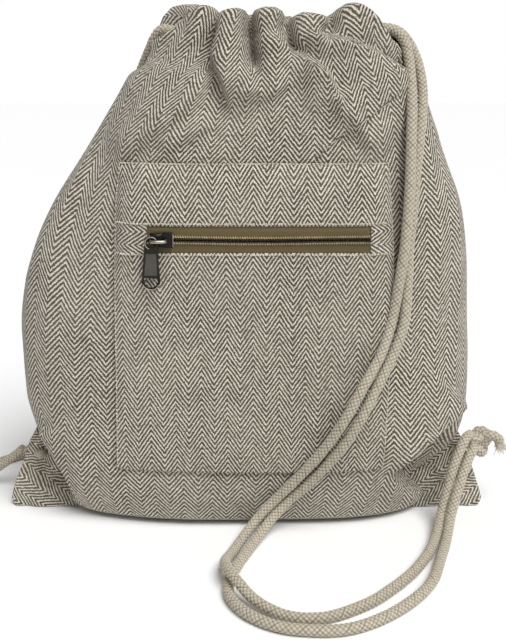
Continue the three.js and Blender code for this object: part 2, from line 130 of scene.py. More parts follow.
def grid_faces(rows, columns, wrap=False, start=0, flip=False):
    """Quads of a grid of vertices, and for each quad corner its row and column without wrapping."""
    r, c = np.meshgrid(np.arange(rows - 1), np.arange(columns if wrap else columns - 1), indexing="ij")
    r, c = r.ravel(), c.ravel()
    corners = [(r, c), (r, c + 1), (r + 1, c + 1), (r + 1, c)]
    if flip:
        corners = corners[::-1]
    faces = np.stack([start + a * columns + b % columns for a, b in corners], axis=1)
    rc = np.stack([np.stack([a, b], axis=1) for a, b in corners], axis=1)
    return faces, rc


def grid_object(name, points, uv, material, body="root", flip=False):
    """An open sheet from a grid of points, with its cloth coordinates in millimetres."""
    rows, columns = points.shape[:2]
    faces, rc = grid_faces(rows, columns, flip=flip)
    uvs = uv[rc[..., 0], rc[..., 1]] / 100
    return new_object(name, points.reshape(-1, 3), [faces], material, uvs, body)


def blend(low, high, t, a, b):
    """Goes in a straight line from a where t is low to b where t is high."""
    return (high - t) / (high - low) * a + (t - low) / (high - low) * b


def spline(points, step):
    """A centripetal Catmull-Rom curve through the points, sampled at even steps, and its length."""
    p = np.asarray(points, float)
    p = np.vstack([2 * p[0] - p[1], p, 2 * p[-1] - p[-2]])
    out = []
    for i in range(1, len(p) - 2):
        q = p[i - 1:i + 3]
        knots = np.concatenate([[0], np.cumsum(np.sqrt(np.linalg.norm(np.diff(q, axis=0), axis=1)))])
        t = np.linspace(knots[1], knots[2], 24, endpoint=False)[:, None]
        a = [blend(knots[k], knots[k + 1], t, q[k], q[k + 1]) for k in range(3)]
        b = [blend(knots[k], knots[k + 2], t, a[k], a[k + 1]) for k in range(2)]
        out.append(blend(knots[1], knots[2], t, b[0], b[1]))
    out.append(p[-2][None])
    dense = np.vstack(out)
    length = np.concatenate([[0], np.cumsum(np.linalg.norm(np.diff(dense, axis=0), axis=1))])
    count = max(2, int(round(length[-1] / step)))
    at = np.linspace(0, length[-1], count + 1)
    return np.stack([np.interp(at, length, dense[:, k]) for k in range(3)], axis=1), length[-1]


def frames_along(path):
    """Tangents and two normals along a path that turn as little as they can."""
    tangent = np.gradient(path, axis=0)
    tangent /= np.linalg.norm(tangent, axis=1)[:, None]
    normal = np.zeros_like(tangent)
    first = np.cross(tangent[0], [0.3, 0.5, 0.8])
    normal[0] = first / np.linalg.norm(first)
    for i in range(1, len(path)):
        n = normal[i - 1] - tangent[i] * np.dot(normal[i - 1], tangent[i])
        normal[i] = n / np.linalg.norm(n)
    return tangent, normal, np.cross(tangent, normal)


def ring_points(path, radius, around, flatten=(1.0, 1.0)):
    """Rings of points round a path. radius has a row for each ring, and flatten squashes the ring
    along each of the path's two normals."""
    _, normal, side = frames_along(path)
    a = np.linspace(0, 2 * math.pi, around, endpoint=False)[None, :, None]
    out = flatten[0] * np.cos(a) * normal[:, None] + flatten[1] * np.sin(a) * side[:, None]
    return path[:, None] + radius[..., None] * out


# ---- Camera ----

LENS = 53.2
CAMERA_HEIGHT = 0.3312
CAMERA_DISTANCE = 0.69  # in front of the seam plane
CAMERA_TILT = 15.1  # degrees that it looks down


def camera():
    data = bpy.data.cameras.new("camera")
    data.sensor_fit = "VERTICAL"
    data.sensor_height = 36
    data.lens = LENS
    data.clip_start = 0.02
    data.clip_end = 20
    eye = bpy.data.objects.new("camera", data)
    eye.location = (0.005, -CAMERA_DISTANCE + SHIFT_Y, CAMERA_HEIGHT)
    eye.rotation_euler = (math.radians(90 - CAMERA_TILT), 0, 0)
    bpy.context.scene.collection.objects.link(eye)
    bpy.context.scene.camera = eye


camera()


# ---- Materials ----

class Nodes:
    """A short way to write node trees."""

    def __init__(self, name):
        self.material = bpy.data.materials.new(name)
        self.material.use_nodes = True
        self.tree = self.material.node_tree
        self.shader = next(n for n in self.tree.nodes if n.type == "BSDF_PRINCIPLED")

    def add(self, kind, **settings):
        node = self.tree.nodes.new("ShaderNode" + kind)
        for key, value in settings.items():
            setattr(node, key, value)
        return node

    def set(self, socket, value):
        if hasattr(value, "is_output"):
            self.tree.links.new(value, socket)
        else:
            socket.default_value = value

    def math(self, operation, a, b=0.0, c=0.0):
        node = self.add("Math", operation=operation)
        for socket, value in zip(node.inputs, (a, b, c)):
            self.set(socket, value)
        return node.outputs[0]

    def mix(self, factor, a, b):
        node = self.add("Mix", data_type="RGBA")
        self.set(node.inputs[0], factor)
        self.set(node.inputs[6], a)
        self.set(node.inputs[7], b)
        return node.outputs[2]

    def noise(self, vector, scale, detail=2.0, rough=0.5):
        node = self.add("TexNoise")
        self.set(node.inputs["Vector"], vector)
        self.set(node.inputs["Scale"], scale)
        self.set(node.inputs["Detail"], detail)
        self.set(node.inputs["Roughness"], rough)
        return node.outputs["Fac"]

    def ramp(self, value, low, high):
        node = self.add("MapRange", interpolation_type="SMOOTHSTEP")
        self.set(node.inputs[0], value)
        self.set(node.inputs[1], low)
        self.set(node.inputs[2], high)
        return node.outputs[0]

    def bump(self, height, distance, strength=1.0):
        node = self.add("Bump")
        self.set(node.inputs["Height"], height)
        self.set(node.inputs["Distance"], distance)
        self.set(node.inputs["Strength"], strength)
        self.set(self.shader.inputs["Normal"], node.outputs[0])

    def cloth(self):
        """The two cloth coordinates, in millimetres."""
        uv = self.add("UVMap", uv_map="cloth")
        split = self.add("SeparateXYZ")
        self.set(split.inputs[0], uv.outputs[0])
        return tuple(self.math("MULTIPLY", split.outputs[k], 100.0) for k in (0, 1))

    def vector(self, x, y, z=0.0):
        node = self.add("CombineXYZ")
        self.set(node.inputs[0], x)
        self.set(node.inputs[1], y)
        self.set(node.inputs[2], z)
        return node.outputs[0]


STRIPE_HALF = 9.05  # width of one herringbone column
STRIPE_RISE = 1.52  # how steeply its lines rise
STRIPE_REPEAT = 4.05  # height between two dark lines
THREAD = 0.8  # from one thread to the next
DUST = (0.62, 0.57, 0.46, 1)  # faint cloudy tint over the cloth


def shade(colour, factor):
    return [c * factor for c in colour] + [1]


def herringbone(name, light, dark):
    """Twill lines that turn at every column, made of short weft floats."""
    m = Nodes(name)
    u, w = m.cloth()
    place = m.vector(u, w)
    drift = m.math("MULTIPLY_ADD", m.noise(place, 0.035, 2.0), 3.0, -1.5)
    wobble = m.math("MULTIPLY_ADD", m.noise(place, 0.55, 3.0, 0.7), 2.2, -1.1)
    u2 = m.math("ADD", u, m.math("MULTIPLY", drift, 0.5))
    stepped = m.math("MULTIPLY", m.math("FLOOR", m.math("DIVIDE", u2, THREAD)), THREAD)
    soft_u = m.math("MULTIPLY_ADD", stepped, 0.35, m.math("MULTIPLY", u2, 0.65))
    zigzag = m.math("PINGPONG", soft_u, STRIPE_HALF)
    waver = m.math("ADD", drift, m.math("MULTIPLY", wobble, 0.6))
    climb = m.math("MULTIPLY_ADD", zigzag, -STRIPE_RISE, m.math("ADD", w, waver))
    phase = m.math("SINE", m.math("MULTIPLY", climb, 2 * math.pi / STRIPE_REPEAT))
    # Threads: the weft floats are cut up by the warp.
    warp = m.math("SINE", m.math("MULTIPLY", u, 2 * math.pi / THREAD))
    weft = m.math("SINE", m.math("MULTIPLY", w, 2 * math.pi / (THREAD * 0.9)))
    grain = m.noise(m.vector(m.math("MULTIPLY", u, 1.2), m.math("MULTIPLY", w, 1.2)), 1.0, 3.0, 0.65)
    edge = m.math("ADD", phase, m.math("MULTIPLY_ADD", grain, 2.0, -1.0))
    float_u = m.math("MULTIPLY", m.math("FLOOR", m.math("DIVIDE", u2, THREAD)), 7.13)
    float_w = m.math("MULTIPLY", m.math("FLOOR", m.math("DIVIDE", climb, THREAD * 0.8)), 5.71)
    each = m.noise(m.vector(float_u, float_w), 1.0, 0.0)
    edge = m.math("ADD", edge, m.math("MULTIPLY_ADD", each, 2.0, -1.0))
    edge = m.math("ADD", edge, m.math("MULTIPLY", m.math("MULTIPLY", warp, weft), 0.3))
    fade = m.noise(place, 0.06, 3.0, 0.6)
    threshold = m.math("MULTIPLY", fade, 0.5)
    dark_share = m.ramp(edge, m.math("SUBTRACT", threshold, 0.22), m.math("ADD", threshold, 0.22))
    cloudy = m.noise(place, 0.02, 3.0, 0.5)
    light_now = m.mix(m.ramp(grain, 0.25, 0.75), shade(light, 0.80), shade(light, 1.0))
    light_now = m.mix(m.ramp(each, 0.35, 0.6), shade(light, 0.74), light_now)
    dark_now = m.mix(m.ramp(grain, 0.3, 0.8), shade(dark, 0.75), shade(dark, 1.5))
    colour = m.mix(dark_share, dark_now, light_now)
    colour = m.mix(m.math("MULTIPLY", m.ramp(cloudy, 0.35, 0.75), 0.10), colour, DUST)
    m.set(m.shader.inputs["Base Color"], colour)
    m.set(m.shader.inputs["Roughness"], m.math("MULTIPLY_ADD", grain, 0.12, 0.82))
    m.shader.inputs["Specular IOR Level"].default_value = 0.18
    m.shader.inputs["Sheen Weight"].default_value = 0.12
    m.shader.inputs["Sheen Roughness"].default_value = 0.6
    height = m.math("ADD", m.math("MULTIPLY", dark_share, 0.5), m.math("MULTIPLY", grain, 0.5))
    m.bump(height, 0.00035, 0.7)
    return m.material


CREAM = (0.77, 0.725, 0.62)
TAUPE = (0.080, 0.062, 0.040)
CLOTH = herringbone("herringbone_cotton", CREAM, TAUPE)


def cord_material():
    m = Nodes("cotton_cord")
    u, w = m.cloth()
    place = m.vector(u, w)
    fibre = m.noise(m.vector(m.math("MULTIPLY", u, 2.4), m.math("MULTIPLY", w, 0.9)), 1.0, 3.0, 0.7)
    patch = m.noise(place, 0.05, 2.0)
    # Painted shade: the colour is darkened in the grooves between plaits, where shadow falls.
    attribute = m.add("Attribute", attribute_name="groove")
    groove = attribute.outputs["Fac"]
    colour = m.mix(m.ramp(fibre, 0.3, 0.75), (0.56, 0.505, 0.395, 1), (0.80, 0.75, 0.63, 1))
    colour = m.mix(m.math("MULTIPLY", patch, 0.25), colour, (0.62, 0.56, 0.44, 1))
    # This dark brown is the painted groove shade.
    colour = m.mix(groove, colour, (0.20, 0.16, 0.105, 1))
    m.set(m.shader.inputs["Base Color"], colour)
    m.set(m.shader.inputs["Roughness"], m.math("MULTIPLY_ADD", fibre, 0.1, 0.86))
    m.shader.inputs["Specular IOR Level"].default_value = 0.15
    m.shader.inputs["Sheen Weight"].default_value = 0.2
    m.shader.inputs["Sheen Roughness"].default_value = 0.5
    m.bump(fibre, 0.0004, 0.8)
    return m.material


CORD_COTTON = cord_material()

# ---- Cords ----

CORD = 7.6  # diameter
CORD_RING = 32  # points round the cord
CORD_STEP = 0.62  # between two rings of points
PLAITS = 6  # plaits in each direction round the cord
PLAIT_LAY = 20.0  # length in which one plait goes once round
PLAIT_RELIEF = 0.95  # depth of the grooves between plaits

RIGHT_FRONT_ROUTE = [
    [93.6, -9.7, 355.8], [100.5, -9.5, 354.7], [106.2, -10.8, 350.8], [110, -13.5, 344.5],
    [111.7, -18, 335], [112.5, -26, 322.5], [112.3, -37, 303], [111.5, -44, 288], [110.7, -51, 265],
    [109.8, -56, 240], [108, -59.5, 215], [105, -60.5, 190], [100.5, -61, 160], [93, -69, 139],
    [81, -77, 119], [70, -79, 98], [59, -75.5, 78], [46, -70, 58], [33, -65.5, 41], [19, -62.5, 25],
    [7, -66.5, 12.5], [-2.5, -80, 5.5], [-9, -97, 4.3], [-13.5, -114, 7], [-12.5, -131, 12.3],
    [-6, -147, 12.3], [6, -162.5, 7], [24, -175, 4.1], [46, -178.5, 4.1], [76, -163, 4.1],
    [97, -142.5, 4.1], [114, -121, 4.1], [129, -94, 4.3], [138, -71, 6], [144, -54, 13],
    [149, -46, 27], [153, -41.5, 41], [158.5, -36, 53], [165, -27, 60.5], [170.2, -18.3, 60],
]
RIGHT_REAR_ROUTE = [
    [93.4, 9.8, 355.6], [99.5, 6.8, 356], [107, 1.5, 353.5], [113.5, -4, 346], [118, -9.5, 336],
    [120.5, -16.5, 324], [121.5, -23.5, 311], [119.5, -33.5, 297], [117, -42.5, 278], [114.8, -47.5, 255],
    [113.2, -51.5, 232], [111.5, -53.8, 208], [111, -57.5, 182], [108.8, -61.5, 158], [102, -66.5, 139],
    [91.5, -73.5, 119], [81, -78, 98], [70.5, -76, 78], [57, -70.5, 57], [44, -65.5, 40], [30, -62, 25],
    [17.5, -66.5, 12.5], [7.5, -81, 5.5], [-0.5, -100, 4.1], [-7, -120, 4.1], [-11, -138, 4.1],
    [-9, -156, 4.1], [2, -174, 4.1], [20, -187, 4.1], [41, -191.5, 4.1], [62, -190, 4.1],
    [84, -178.5, 4.1], [104, -161, 4.1], [122, -137, 4.1], [134.5, -104.5, 4.3], [143, -80.5, 6],
    [149, -62, 13], [154.8, -51.5, 26], [161, -42.5, 39], [167, -33.5, 48], [173, -24, 53],
]
LEFT_FRONT_ROUTE = [
    [-54, -5, 355], [-59.5, -3, 354], [-64, 0.5, 349], [-68.5, 7, 341], [-74, 15, 331], [-79, 22, 320],
    [-84.2, 28, 309], [-84.6, 36, 296], [-84, 45, 272], [-84, 52.5, 236], [-84.5, 58.5, 200],
    [-84, 62, 165], [-82, 63.8, 130], [-79.5, 65, 95], [-75, 65, 62], [-70, 62.5, 38], [-64, 61, 22],
    [-57.5, 68, 10], [-52.5, 89, 4.6], [-51, 112, 4.1], [-51.5, 138, 4.1], [-58, 165, 4.1],
    [-73, 186, 4.1], [-96, 195, 4.1], [-120, 188, 4.1], [-136, 168, 4.1], [-143, 141, 4.1],
    [-147, 115, 4.1], [-153, 92, 4.1], [-161, 72, 4.6], [-167, 56, 9], [-169.5, 43, 18],
    [-169.5, 31.5, 29], [-168.3, 20, 37.2],
]
LEFT_REAR_ROUTE = [
    [-54, 8, 352], [-58.5, 10, 350], [-62.5, 14, 343.5], [-66.5, 20, 334.5], [-71, 27, 323],
    [-75.2, 33, 310], [-75.5, 39, 295], [-75.5, 46.6, 272], [-75.5, 54, 236], [-76, 59.5, 200],
    [-75.5, 63, 165], [-73.5, 64.8, 130], [-71, 66, 95], [-66.5, 65.8, 62], [-61, 63.5, 38],
    [-55, 62, 22], [-48.5, 69.5, 10], [-43.5, 92, 4.6], [-40.5, 116, 4.1], [-39, 145, 4.1],
    [-45, 174, 4.1], [-63, 197, 4.1], [-96, 206, 4.1], [-128, 198, 4.1], [-147, 177, 4.1],
    [-155, 150, 4.1], [-160, 124, 4.1], [-170, 101, 4.1], [-185, 83, 4.1], [-202, 67, 4.1],
    [-217, 52, 4.2], [-223.5, 37, 5], [-217, 25.5, 8], [-205, 20.5, 14], [-193.5, 17, 22.5],
    [-184.5, 13.5, 30], [-178, 11, 36.2],
]


def plait_height(angle, along):
    """Height of the plaited surface from 0 in the grooves to 1 on a crown."""
    turns = along / PLAIT_LAY
    a = PLAITS * (angle / (2 * math.pi) + turns)
    b = PLAITS * (angle / (2 * math.pi) - turns)
    fa, fb = a - np.floor(a), b - np.floor(b)
    over = ((np.floor(a) + np.floor(b)).astype(int) % 2) == 0
    across = np.where(over, fa, fb)
    forward = np.where(over, fb, fa)
    crown = np.clip(1 - (2 * across - 1) ** 2, 0, 1) ** 0.6
    dive = np.clip(1 - (2 * forward - 1) ** 2, 0, 1) ** 0.5
    return crown * dive


def cord_object(name, path, diameter=CORD, seed=0):
    """A plaited cord with closed ends, along a path of even steps in millimetres."""
    step = np.linalg.norm(np.diff(path, axis=0), axis=1)
    along = np.concatenate([[0], np.cumsum(step)])
    angle = np.linspace(0, 2 * math.pi, CORD_RING, endpoint=False)
    s, a = np.meshgrid(along, angle, indexing="ij")
    height = plait_height(a, s + seed * 7.3)
    radius = diameter / 2 - PLAIT_RELIEF * (1 - height) + 0.12 * noise(s / 9 + seed, a * 0.6, seed)
    verts = ring_points(path, radius, CORD_RING).reshape(-1, 3)
    faces, rc = grid_faces(len(path), CORD_RING, wrap=True)
    u = rc[..., 1] * (math.pi * diameter / CORD_RING)
    uvs = np.stack([u, along[rc[..., 0]]], axis=-1) / 100
    # How strongly each point gets the painted groove shade, strongest deep in the grooves.
    groove = np.clip(1.15 * (1 - height), 0, 1) ** 1.2
    # A fan of triangles closes each end, round the path's own end point.
    first = np.arange(CORD_RING)
    last = first + (len(path) - 1) * CORD_RING
    centre = np.full(CORD_RING, len(verts))
    near_cap = np.stack([centre, np.roll(first, -1), first], axis=1)
    far_cap = np.stack([centre + 1, last, np.roll(last, -1)], axis=1)
    verts = np.vstack([verts, path[:1], path[-1:]])
    piece = new_object(name, verts, [faces, near_cap, far_cap], CORD_COTTON, uvs)
    # The centre points of the end caps get painted shade too.
    attribute = piece.data.attributes.new("groove", "FLOAT", "POINT")
    attribute.data.foreach_set("value", np.append(groove.ravel(), [0.6, 0.6]).astype(np.float32))
    return piece


def strand(name, route, seed):
    path, length = spline(route, CORD_STEP)
    piece = cord_object(name + "_cord", path, seed=seed)
    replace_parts(piece, name)
    return piece, path, length


STRANDS = {
    name: strand(name, route, seed)
    for seed, (name, route) in enumerate(
        {
            "right_strand_front": RIGHT_FRONT_ROUTE,
            "right_strand_rear": RIGHT_REAR_ROUTE,
            "left_strand_front": LEFT_FRONT_ROUTE,
            "left_strand_rear": LEFT_REAR_ROUTE,
        }.items()
    )
}

# ---- The bag's own surface ----

# Outline of the filled bag: height, half width, half depth, middle in X, roundness exponent.
OUTLINE = [
    [0, 128, 40, 0, 2.8], [5, 137, 50, 0, 2.8], [12, 140.5, 54, 0, 2.85], [20, 143, 57, 0, 2.9],
    [35, 147.5, 60.5, 0.5, 3.0], [50, 154.5, 62, 1.5, 3.0], [64, 159.5, 62.5, 2, 3.0],
    [85, 164.5, 62.5, 1.5, 3.0], [115, 167, 62, 0, 3.0], [155, 166, 60.5, -1.5, 3.0],
    [200, 158, 57, 3, 3.0], [236, 146.5, 53.5, 7.5, 2.8], [272, 128, 48.5, 12.5, 2.6],
    [305, 111, 43.5, 17, 2.4], [325, 99.5, 39, 18.5, 2.25], [337, 91.5, 37, 19.5, 2.2],
    [351, 90.5, 37, 21, 2.2], [366, 89, 35, 22.5, 2.2], [380, 86, 32, 22.5, 2.2],
]
GIRTH = 836.0  # round the cloth, flat
FRONT_COLUMNS = 430  # columns of points in each half's mesh
BACK_COLUMNS = 330
FLOOR_GAP = 0.6  # between the floor and the cloth that lies on it
CHANNEL = 25.0  # thickness of the gathered hem, with the cords in it
LIP_START = 322.0  # height above which the lip's lobes begin to show
LIP_LEVEL = 366.0  # height of the wall's top edge before the lobes are made
LIP_ROLL = 4.2  # how far the hem's round edge stands above its outer face
SECTION_STEPS = 900  # steps along half a section while it is measured


def half_section(height, columns):
    """X and Y in millimetres of the front half of the section at each height, at points evenly
    spaced from left to right."""
    rows = table(OUTLINE, height)
    phi = np.linspace(math.pi, 2 * math.pi, SECTION_STEPS)
    c, s = np.cos(phi), np.sin(phi)
    xs, ys = [], []
    for half, depth, middle, power in rows:
        x = middle + half * np.sign(c) * np.abs(c) ** (2 / power)
        y = depth * np.sign(s) * np.abs(s) ** (2 / power)
        run = np.concatenate([[0], np.cumsum(np.hypot(np.diff(x), np.diff(y)))])
        at = np.linspace(0, run[-1], columns)
        xs.append(np.interp(at, run, x))
        ys.append(np.interp(at, run, y))
    return np.array(xs), np.array(ys)


def front_y(x, z):
    """Y of the plain front surface at x, z."""
    rows = table(OUTLINE, z)
    half, depth, middle, power = (rows[..., k] for k in range(4))
    across = np.clip(np.abs((x - middle) / half), 0, 0.999)
    return -depth * (1 - across**power) ** (1 / power)


def polyline_distance(x, z, line):
    """Distance to a polyline in the X, Z plane, its signed side (positive to the left of its
    direction, seen from the front), and how far along it the nearest point is, from 0 to 1."""
    line = np.asarray(line, float)
    best = np.full(x.shape, 1e9)
    side = np.zeros(x.shape)
    share = np.zeros(x.shape)
    length = np.concatenate([[0], np.cumsum(np.linalg.norm(np.diff(line, axis=0), axis=1))])
    for i in range(len(line) - 1):
        a, b = line[i], line[i + 1]
        d = b - a
        t = np.clip(((x - a[0]) * d[0] + (z - a[1]) * d[1]) / (d @ d), 0, 1)
        px, pz = x - (a[0] + t * d[0]), z - (a[1] + t * d[1])
        dist = np.hypot(px, pz)
        cross = d[0] * pz - d[1] * px
        near = dist < best
        best = np.where(near, dist, best)
        side = np.where(near, np.sign(cross), side)
        share = np.where(near, (length[i] + t * np.linalg.norm(d)) / length[-1], share)
    return best, side, share


def smooth_line(points, count=40):
    points = np.asarray(points, float)
    at = np.linspace(0, len(points) - 1, count)
    return table(np.column_stack([np.arange(len(points)), points]), at)


def end_fade(share, ends):
    """Fades a fold in and out over the given shares of its length."""
    fade = smoothstep(0, max(ends[0], 1e-6), share) if ends[0] else 1.0
    return fade * smoothstep(0, max(ends[1], 1e-6), 1 - share)


def fold(x, z, line, height, width, fall, ends):
    """An overlapping fold: flat on the right-hand side of the line, standing height proud on its
    left-hand side next to the line, and sinking back over the distance fall."""
    dist, side, share = polyline_distance(x, z, smooth_line(line))
    signed = dist * side
    rise = smoothstep(-width, width * 0.35, signed)
    back = 1 / (1 + (np.maximum(signed, 0) / fall) ** 2)
    near_end = np.where((share <= 0.0) | (share >= 1.0), np.exp(-(dist / (2.5 * width)) ** 2), 1.0)
    return height * rise * back * end_fade(share, ends) * near_end


def crease(x, z, line, depth, width, ends):
    """A groove along the line."""
    dist, _, share = polyline_distance(x, z, smooth_line(line))
    return -depth * np.exp(-np.abs(dist / width) ** 1.6) * end_fade(share, ends)


# Height of the mouth's front lip, one lobe per gather: X and Z.
FRONT_LIP = [
    [-80, 338], [-70, 346], [-64, 351.5], [-58, 355], [-52, 357.8], [-47, 361], [-42, 365],
    [-37.5, 368.8], [-33, 370.5], [-29, 370.2], [-25, 368.5], [-21, 364.8], [-17, 366.3],
    [-12, 367.5], [-6, 368], [-2, 367], [1.6, 362.5], [5, 366.8], [12, 368.8], [20, 368.6],
    [25, 366.4], [29, 360], [33, 363], [39, 365.5], [46, 365], [53, 363.8], [58, 362.8],
    [61.5, 365], [65, 368], [70.8, 371.3], [76, 371.8], [79.5, 371], [85, 368], [89, 364.5],
    [92, 360.5], [95, 356.5], [99, 350.5], [103, 348], [107, 343],
]
# Each fold or crease: its line in X and Z, then the rest of what its function asks for.
FRONT_FOLDS = [
    # The central fold's left edge, with the left-hand cloth tucked in behind it.
    (fold, [
        [-17, 374], [-18.5, 355], [-21.8, 342], [-19.5, 332], [-14, 320], [-10, 306], [-8, 296],
    ], 11.5, 3.2, 15, (0.0, 0.35)),
    (crease, [
        [-19, 374], [-19.5, 360], [-24, 345], [-26, 335], [-24, 322], [-19, 306],
    ], 10, 6.5, (0.0, 0.6)),
    # The deep pleat in the middle, and the hollow that it ends in.
    (crease, [
        [1.5, 376], [2.2, 360], [3.2, 350], [4.6, 339], [7, 327], [10, 318],
    ], 20, 4.6, (0.0, 0.4)),
    (fold, [
        [-14, 306], [-6, 311], [2.5, 314], [11, 311.5], [21, 315], [33, 325],
    ], 6, 6.0, 15, (0.3, 0.3)),
    # Pleat right of the middle, then the ridge that runs down to the right from it.
    (crease, [[29, 374], [27.5, 362], [27, 352], [32, 342], [44, 336]], 15, 4.8, (0.0, 0.4)),
    (fold, [
        [70, 276], [65, 296], [60.5, 311], [56.5, 320], [50, 328], [42, 335], [30, 342], [26, 356],
    ], 7.5, 3.5, 24, (0.6, 0.1)),
    # Pleats under the right-hand lobe and at the left of the mouth.
    (crease, [[58.5, 376], [58.5, 362], [56, 354], [48, 350]], 11, 4.0, (0.0, 0.3)),
    (crease, [[-37.5, 376], [-41, 362], [-51, 350], [-64, 338], [-76, 322]], 4, 6, (0.0, 0.5)),
    # Hollows that run down from the gathers towards the pocket's corners.
    (fold, [
        [-94, 258], [-80, 274], [-64.6, 285.4], [-50.8, 295.3], [-37, 306], [-27, 319], [-25, 334],
    ], 8.5, 8, 26, (0.3, 0.12)),
    (fold, [[-62, 268], [-44, 281], [-30.5, 289], [-14, 297]], 5, 6.5, 12, (0.4, 0.3)),
    (crease, [[-62, 330], [-86, 300], [-104, 268], [-118, 232], [-126, 190]], 4.5, 11, (0.3, 0.5)),
    (fold, [[57, 316], [61.2, 307], [70, 295.4], [80.5, 282], [92, 266]], 7, 8, 26, (0.15, 0.35)),
    (crease, [[36, 322], [40, 305], [45, 285]], 2.0, 9, (0.3, 0.5)),
]
# The front cloth laps forward over the side cloth along this line, up from the right to the mouth.
RIGHT_RIDGE = [
    [120, 300], [112.5, 318], [105, 326], [94, 334.5], [79, 342], [64, 347.3], [50, 349.6],
    [40, 351.5],
]
# Folds over the two lower corners.
RIGHT_CORNER_FOLD = [
    [100, 42], [112, 50.5], [119, 56.5], [126, 62.5], [133.5, 68], [141, 74], [149, 79.5],
    [156, 85], [164, 92],
]
LEFT_CORNER_FOLD = [
    [-153, 72], [-147, 60], [-140, 48], [-135, 37], [-131, 26], [-128, 14], [-127, 0],
]
RIGHT_TUCK = 27  # how far the cloth is drawn in below each corner's fold
LEFT_TUCK = 20


def tucked_under(x, z, line):
    """How far the cloth is drawn in below a corner's fold, from 0 to 1."""
    dist, side, share = polyline_distance(x, z, smooth_line(line))
    below = smoothstep(0, 8, -dist * side) * smoothstep(0.02, 0.35, share)
    return below * smoothstep(9, 26, z) * (1 - smoothstep(134, 158, np.abs(x)))


def front_relief(x, z):
    """How far the folds stand out of the plain front surface."""
    out = np.zeros(x.shape)
    for shape, line, *rest in FRONT_FOLDS:
        out += shape(x, z, line, *rest)
    out += fold(x, z, RIGHT_RIDGE, 12, 3.0, 30, (0.5, 0.12))
    out += fold(x, z, RIGHT_CORNER_FOLD, 6, 5, 26, (0.25, 0.1))
    out -= RIGHT_TUCK * tucked_under(x, z, RIGHT_CORNER_FOLD)
    out += fold(x, z, LEFT_CORNER_FOLD, 4, 5, 22, (0.1, 0.3))
    out -= LEFT_TUCK * tucked_under(x, z, LEFT_CORNER_FOLD)
    # Slack cloth: broad hollows, and smaller ones towards the sides.
    small = 0.9 * noise(x / 24, z / 33, 12) * smoothstep(40, 120, np.abs(x))
    out += 2.2 * noise(x / 62 + 1.7, z / 74, 11) + small
    out += 0.35 * noise(x / 9, z / 13, 13)
    return out


SOLVER_ROUNDS = 420
SLIP = 0.002  # share of the hold between neighbouring points that is left across a cut


def solve_grid(step_h, step_v, weight_h, weight_v, start):
    """The grid of heights whose steps come nearest to the wanted ones, by conjugate gradients."""
    def pull(h, v):
        out = np.zeros(start.shape)
        out[:, 1:] += weight_h * h
        out[:, :-1] -= weight_h * h
        out[1:] += weight_v * v
        out[:-1] -= weight_v * v
        return out

    def spread(value):
        return pull(value[:, 1:] - value[:, :-1], value[1:] - value[:-1])

    diagonal = np.zeros(start.shape)
    diagonal[:, 1:] += weight_h
    diagonal[:, :-1] += weight_h
    diagonal[1:] += weight_v
    diagonal[:-1] += weight_v
    value = start.copy()
    rest = pull(step_h, step_v) - spread(value)
    ready = rest / diagonal
    way = ready.copy()
    power = (rest * ready).sum()
    for _ in range(SOLVER_ROUNDS):
        image = spread(way)
        share = power / (way * image).sum()
        value += share * way
        rest -= share * image
        ready = rest / diagonal
        fresh = (rest * ready).sum()
        way = ready + fresh / power * way
        power = fresh
    return value


def cloth_map(points, across, tilt, cuts, outer):
    """Cloth coordinates of a grid of points, as near to true size as they can be, with the weave's
    columns leaning by tilt and the cloth free to slip along each cut. across is the level
    direction along the rows, and outer the number of rows on the outside."""
    h, v = np.diff(points, axis=1), np.diff(points, axis=0)
    h_rise = h[..., 2] * (np.arange(len(points)) < outer)[:, None]
    h_run = np.sqrt(np.maximum((h**2).sum(-1) - h_rise**2, 1e-9))
    v_run = (v[..., :2] * across[1:]).sum(-1)
    v_rise = np.sqrt(np.maximum((v**2).sum(-1) - v_run**2, 1e-9))
    tilt_h, tilt_v = 0.5 * (tilt[:, 1:] + tilt[:, :-1]), 0.5 * (tilt[1:] + tilt[:-1])
    wide = np.median(np.linalg.norm(h, axis=2), axis=1)
    tall = np.concatenate([v_rise.mean(axis=1), v_rise.mean(axis=1)[-1:]])
    weight_h = np.repeat((tall / wide)[:, None], h.shape[1], axis=1)
    weight_v = np.repeat((wide / tall)[:-1, None], v.shape[1], axis=1)
    x, z = points[..., 0], points[..., 2]
    for line in cuts:
        dist, side, share = polyline_distance(x, z, smooth_line(line))
        near = (dist < 4) & (share > 0) & (share < 1)
        near[outer:] = near[outer - 1]
        side[outer:] = side[outer - 1]
        cut_h = (side[:, 1:] * side[:, :-1] < 0) & near[:, 1:] & near[:, :-1]
        cut_v = (side[1:] * side[:-1] < 0) & near[1:] & near[:-1]
        weight_h = np.where(cut_h, weight_h * SLIP, weight_h)
        weight_v = np.where(cut_v, weight_v * SLIP, weight_v)
    u0 = np.concatenate([np.zeros((len(points), 1)), np.cumsum(h_run, axis=1)], axis=1)
    u0 = u0 - u0[:, u0.shape[1] // 2][:, None] + GIRTH / 4
    w0 = np.concatenate([[0], np.cumsum(tall[:-1])])[:, None] + np.zeros_like(u0)
    cos_h, sin_h = np.cos(tilt_h), np.sin(tilt_h)
    cos_v, sin_v = np.cos(tilt_v), np.sin(tilt_v)
    u_steps = h_run * cos_h - h_rise * sin_h, v_run * cos_v - v_rise * sin_v
    w_steps = h_run * sin_h + h_rise * cos_h, v_run * sin_v + v_rise * cos_v
    u = solve_grid(*u_steps, weight_h, weight_v, u0)
    w = solve_grid(*w_steps, weight_h, weight_v, w0)
    centre = (points.shape[0] // 3, points.shape[1] // 2)
    return np.stack([u - u[centre] + GIRTH / 4, w - w[centre] + w0[centre]], axis=-1)


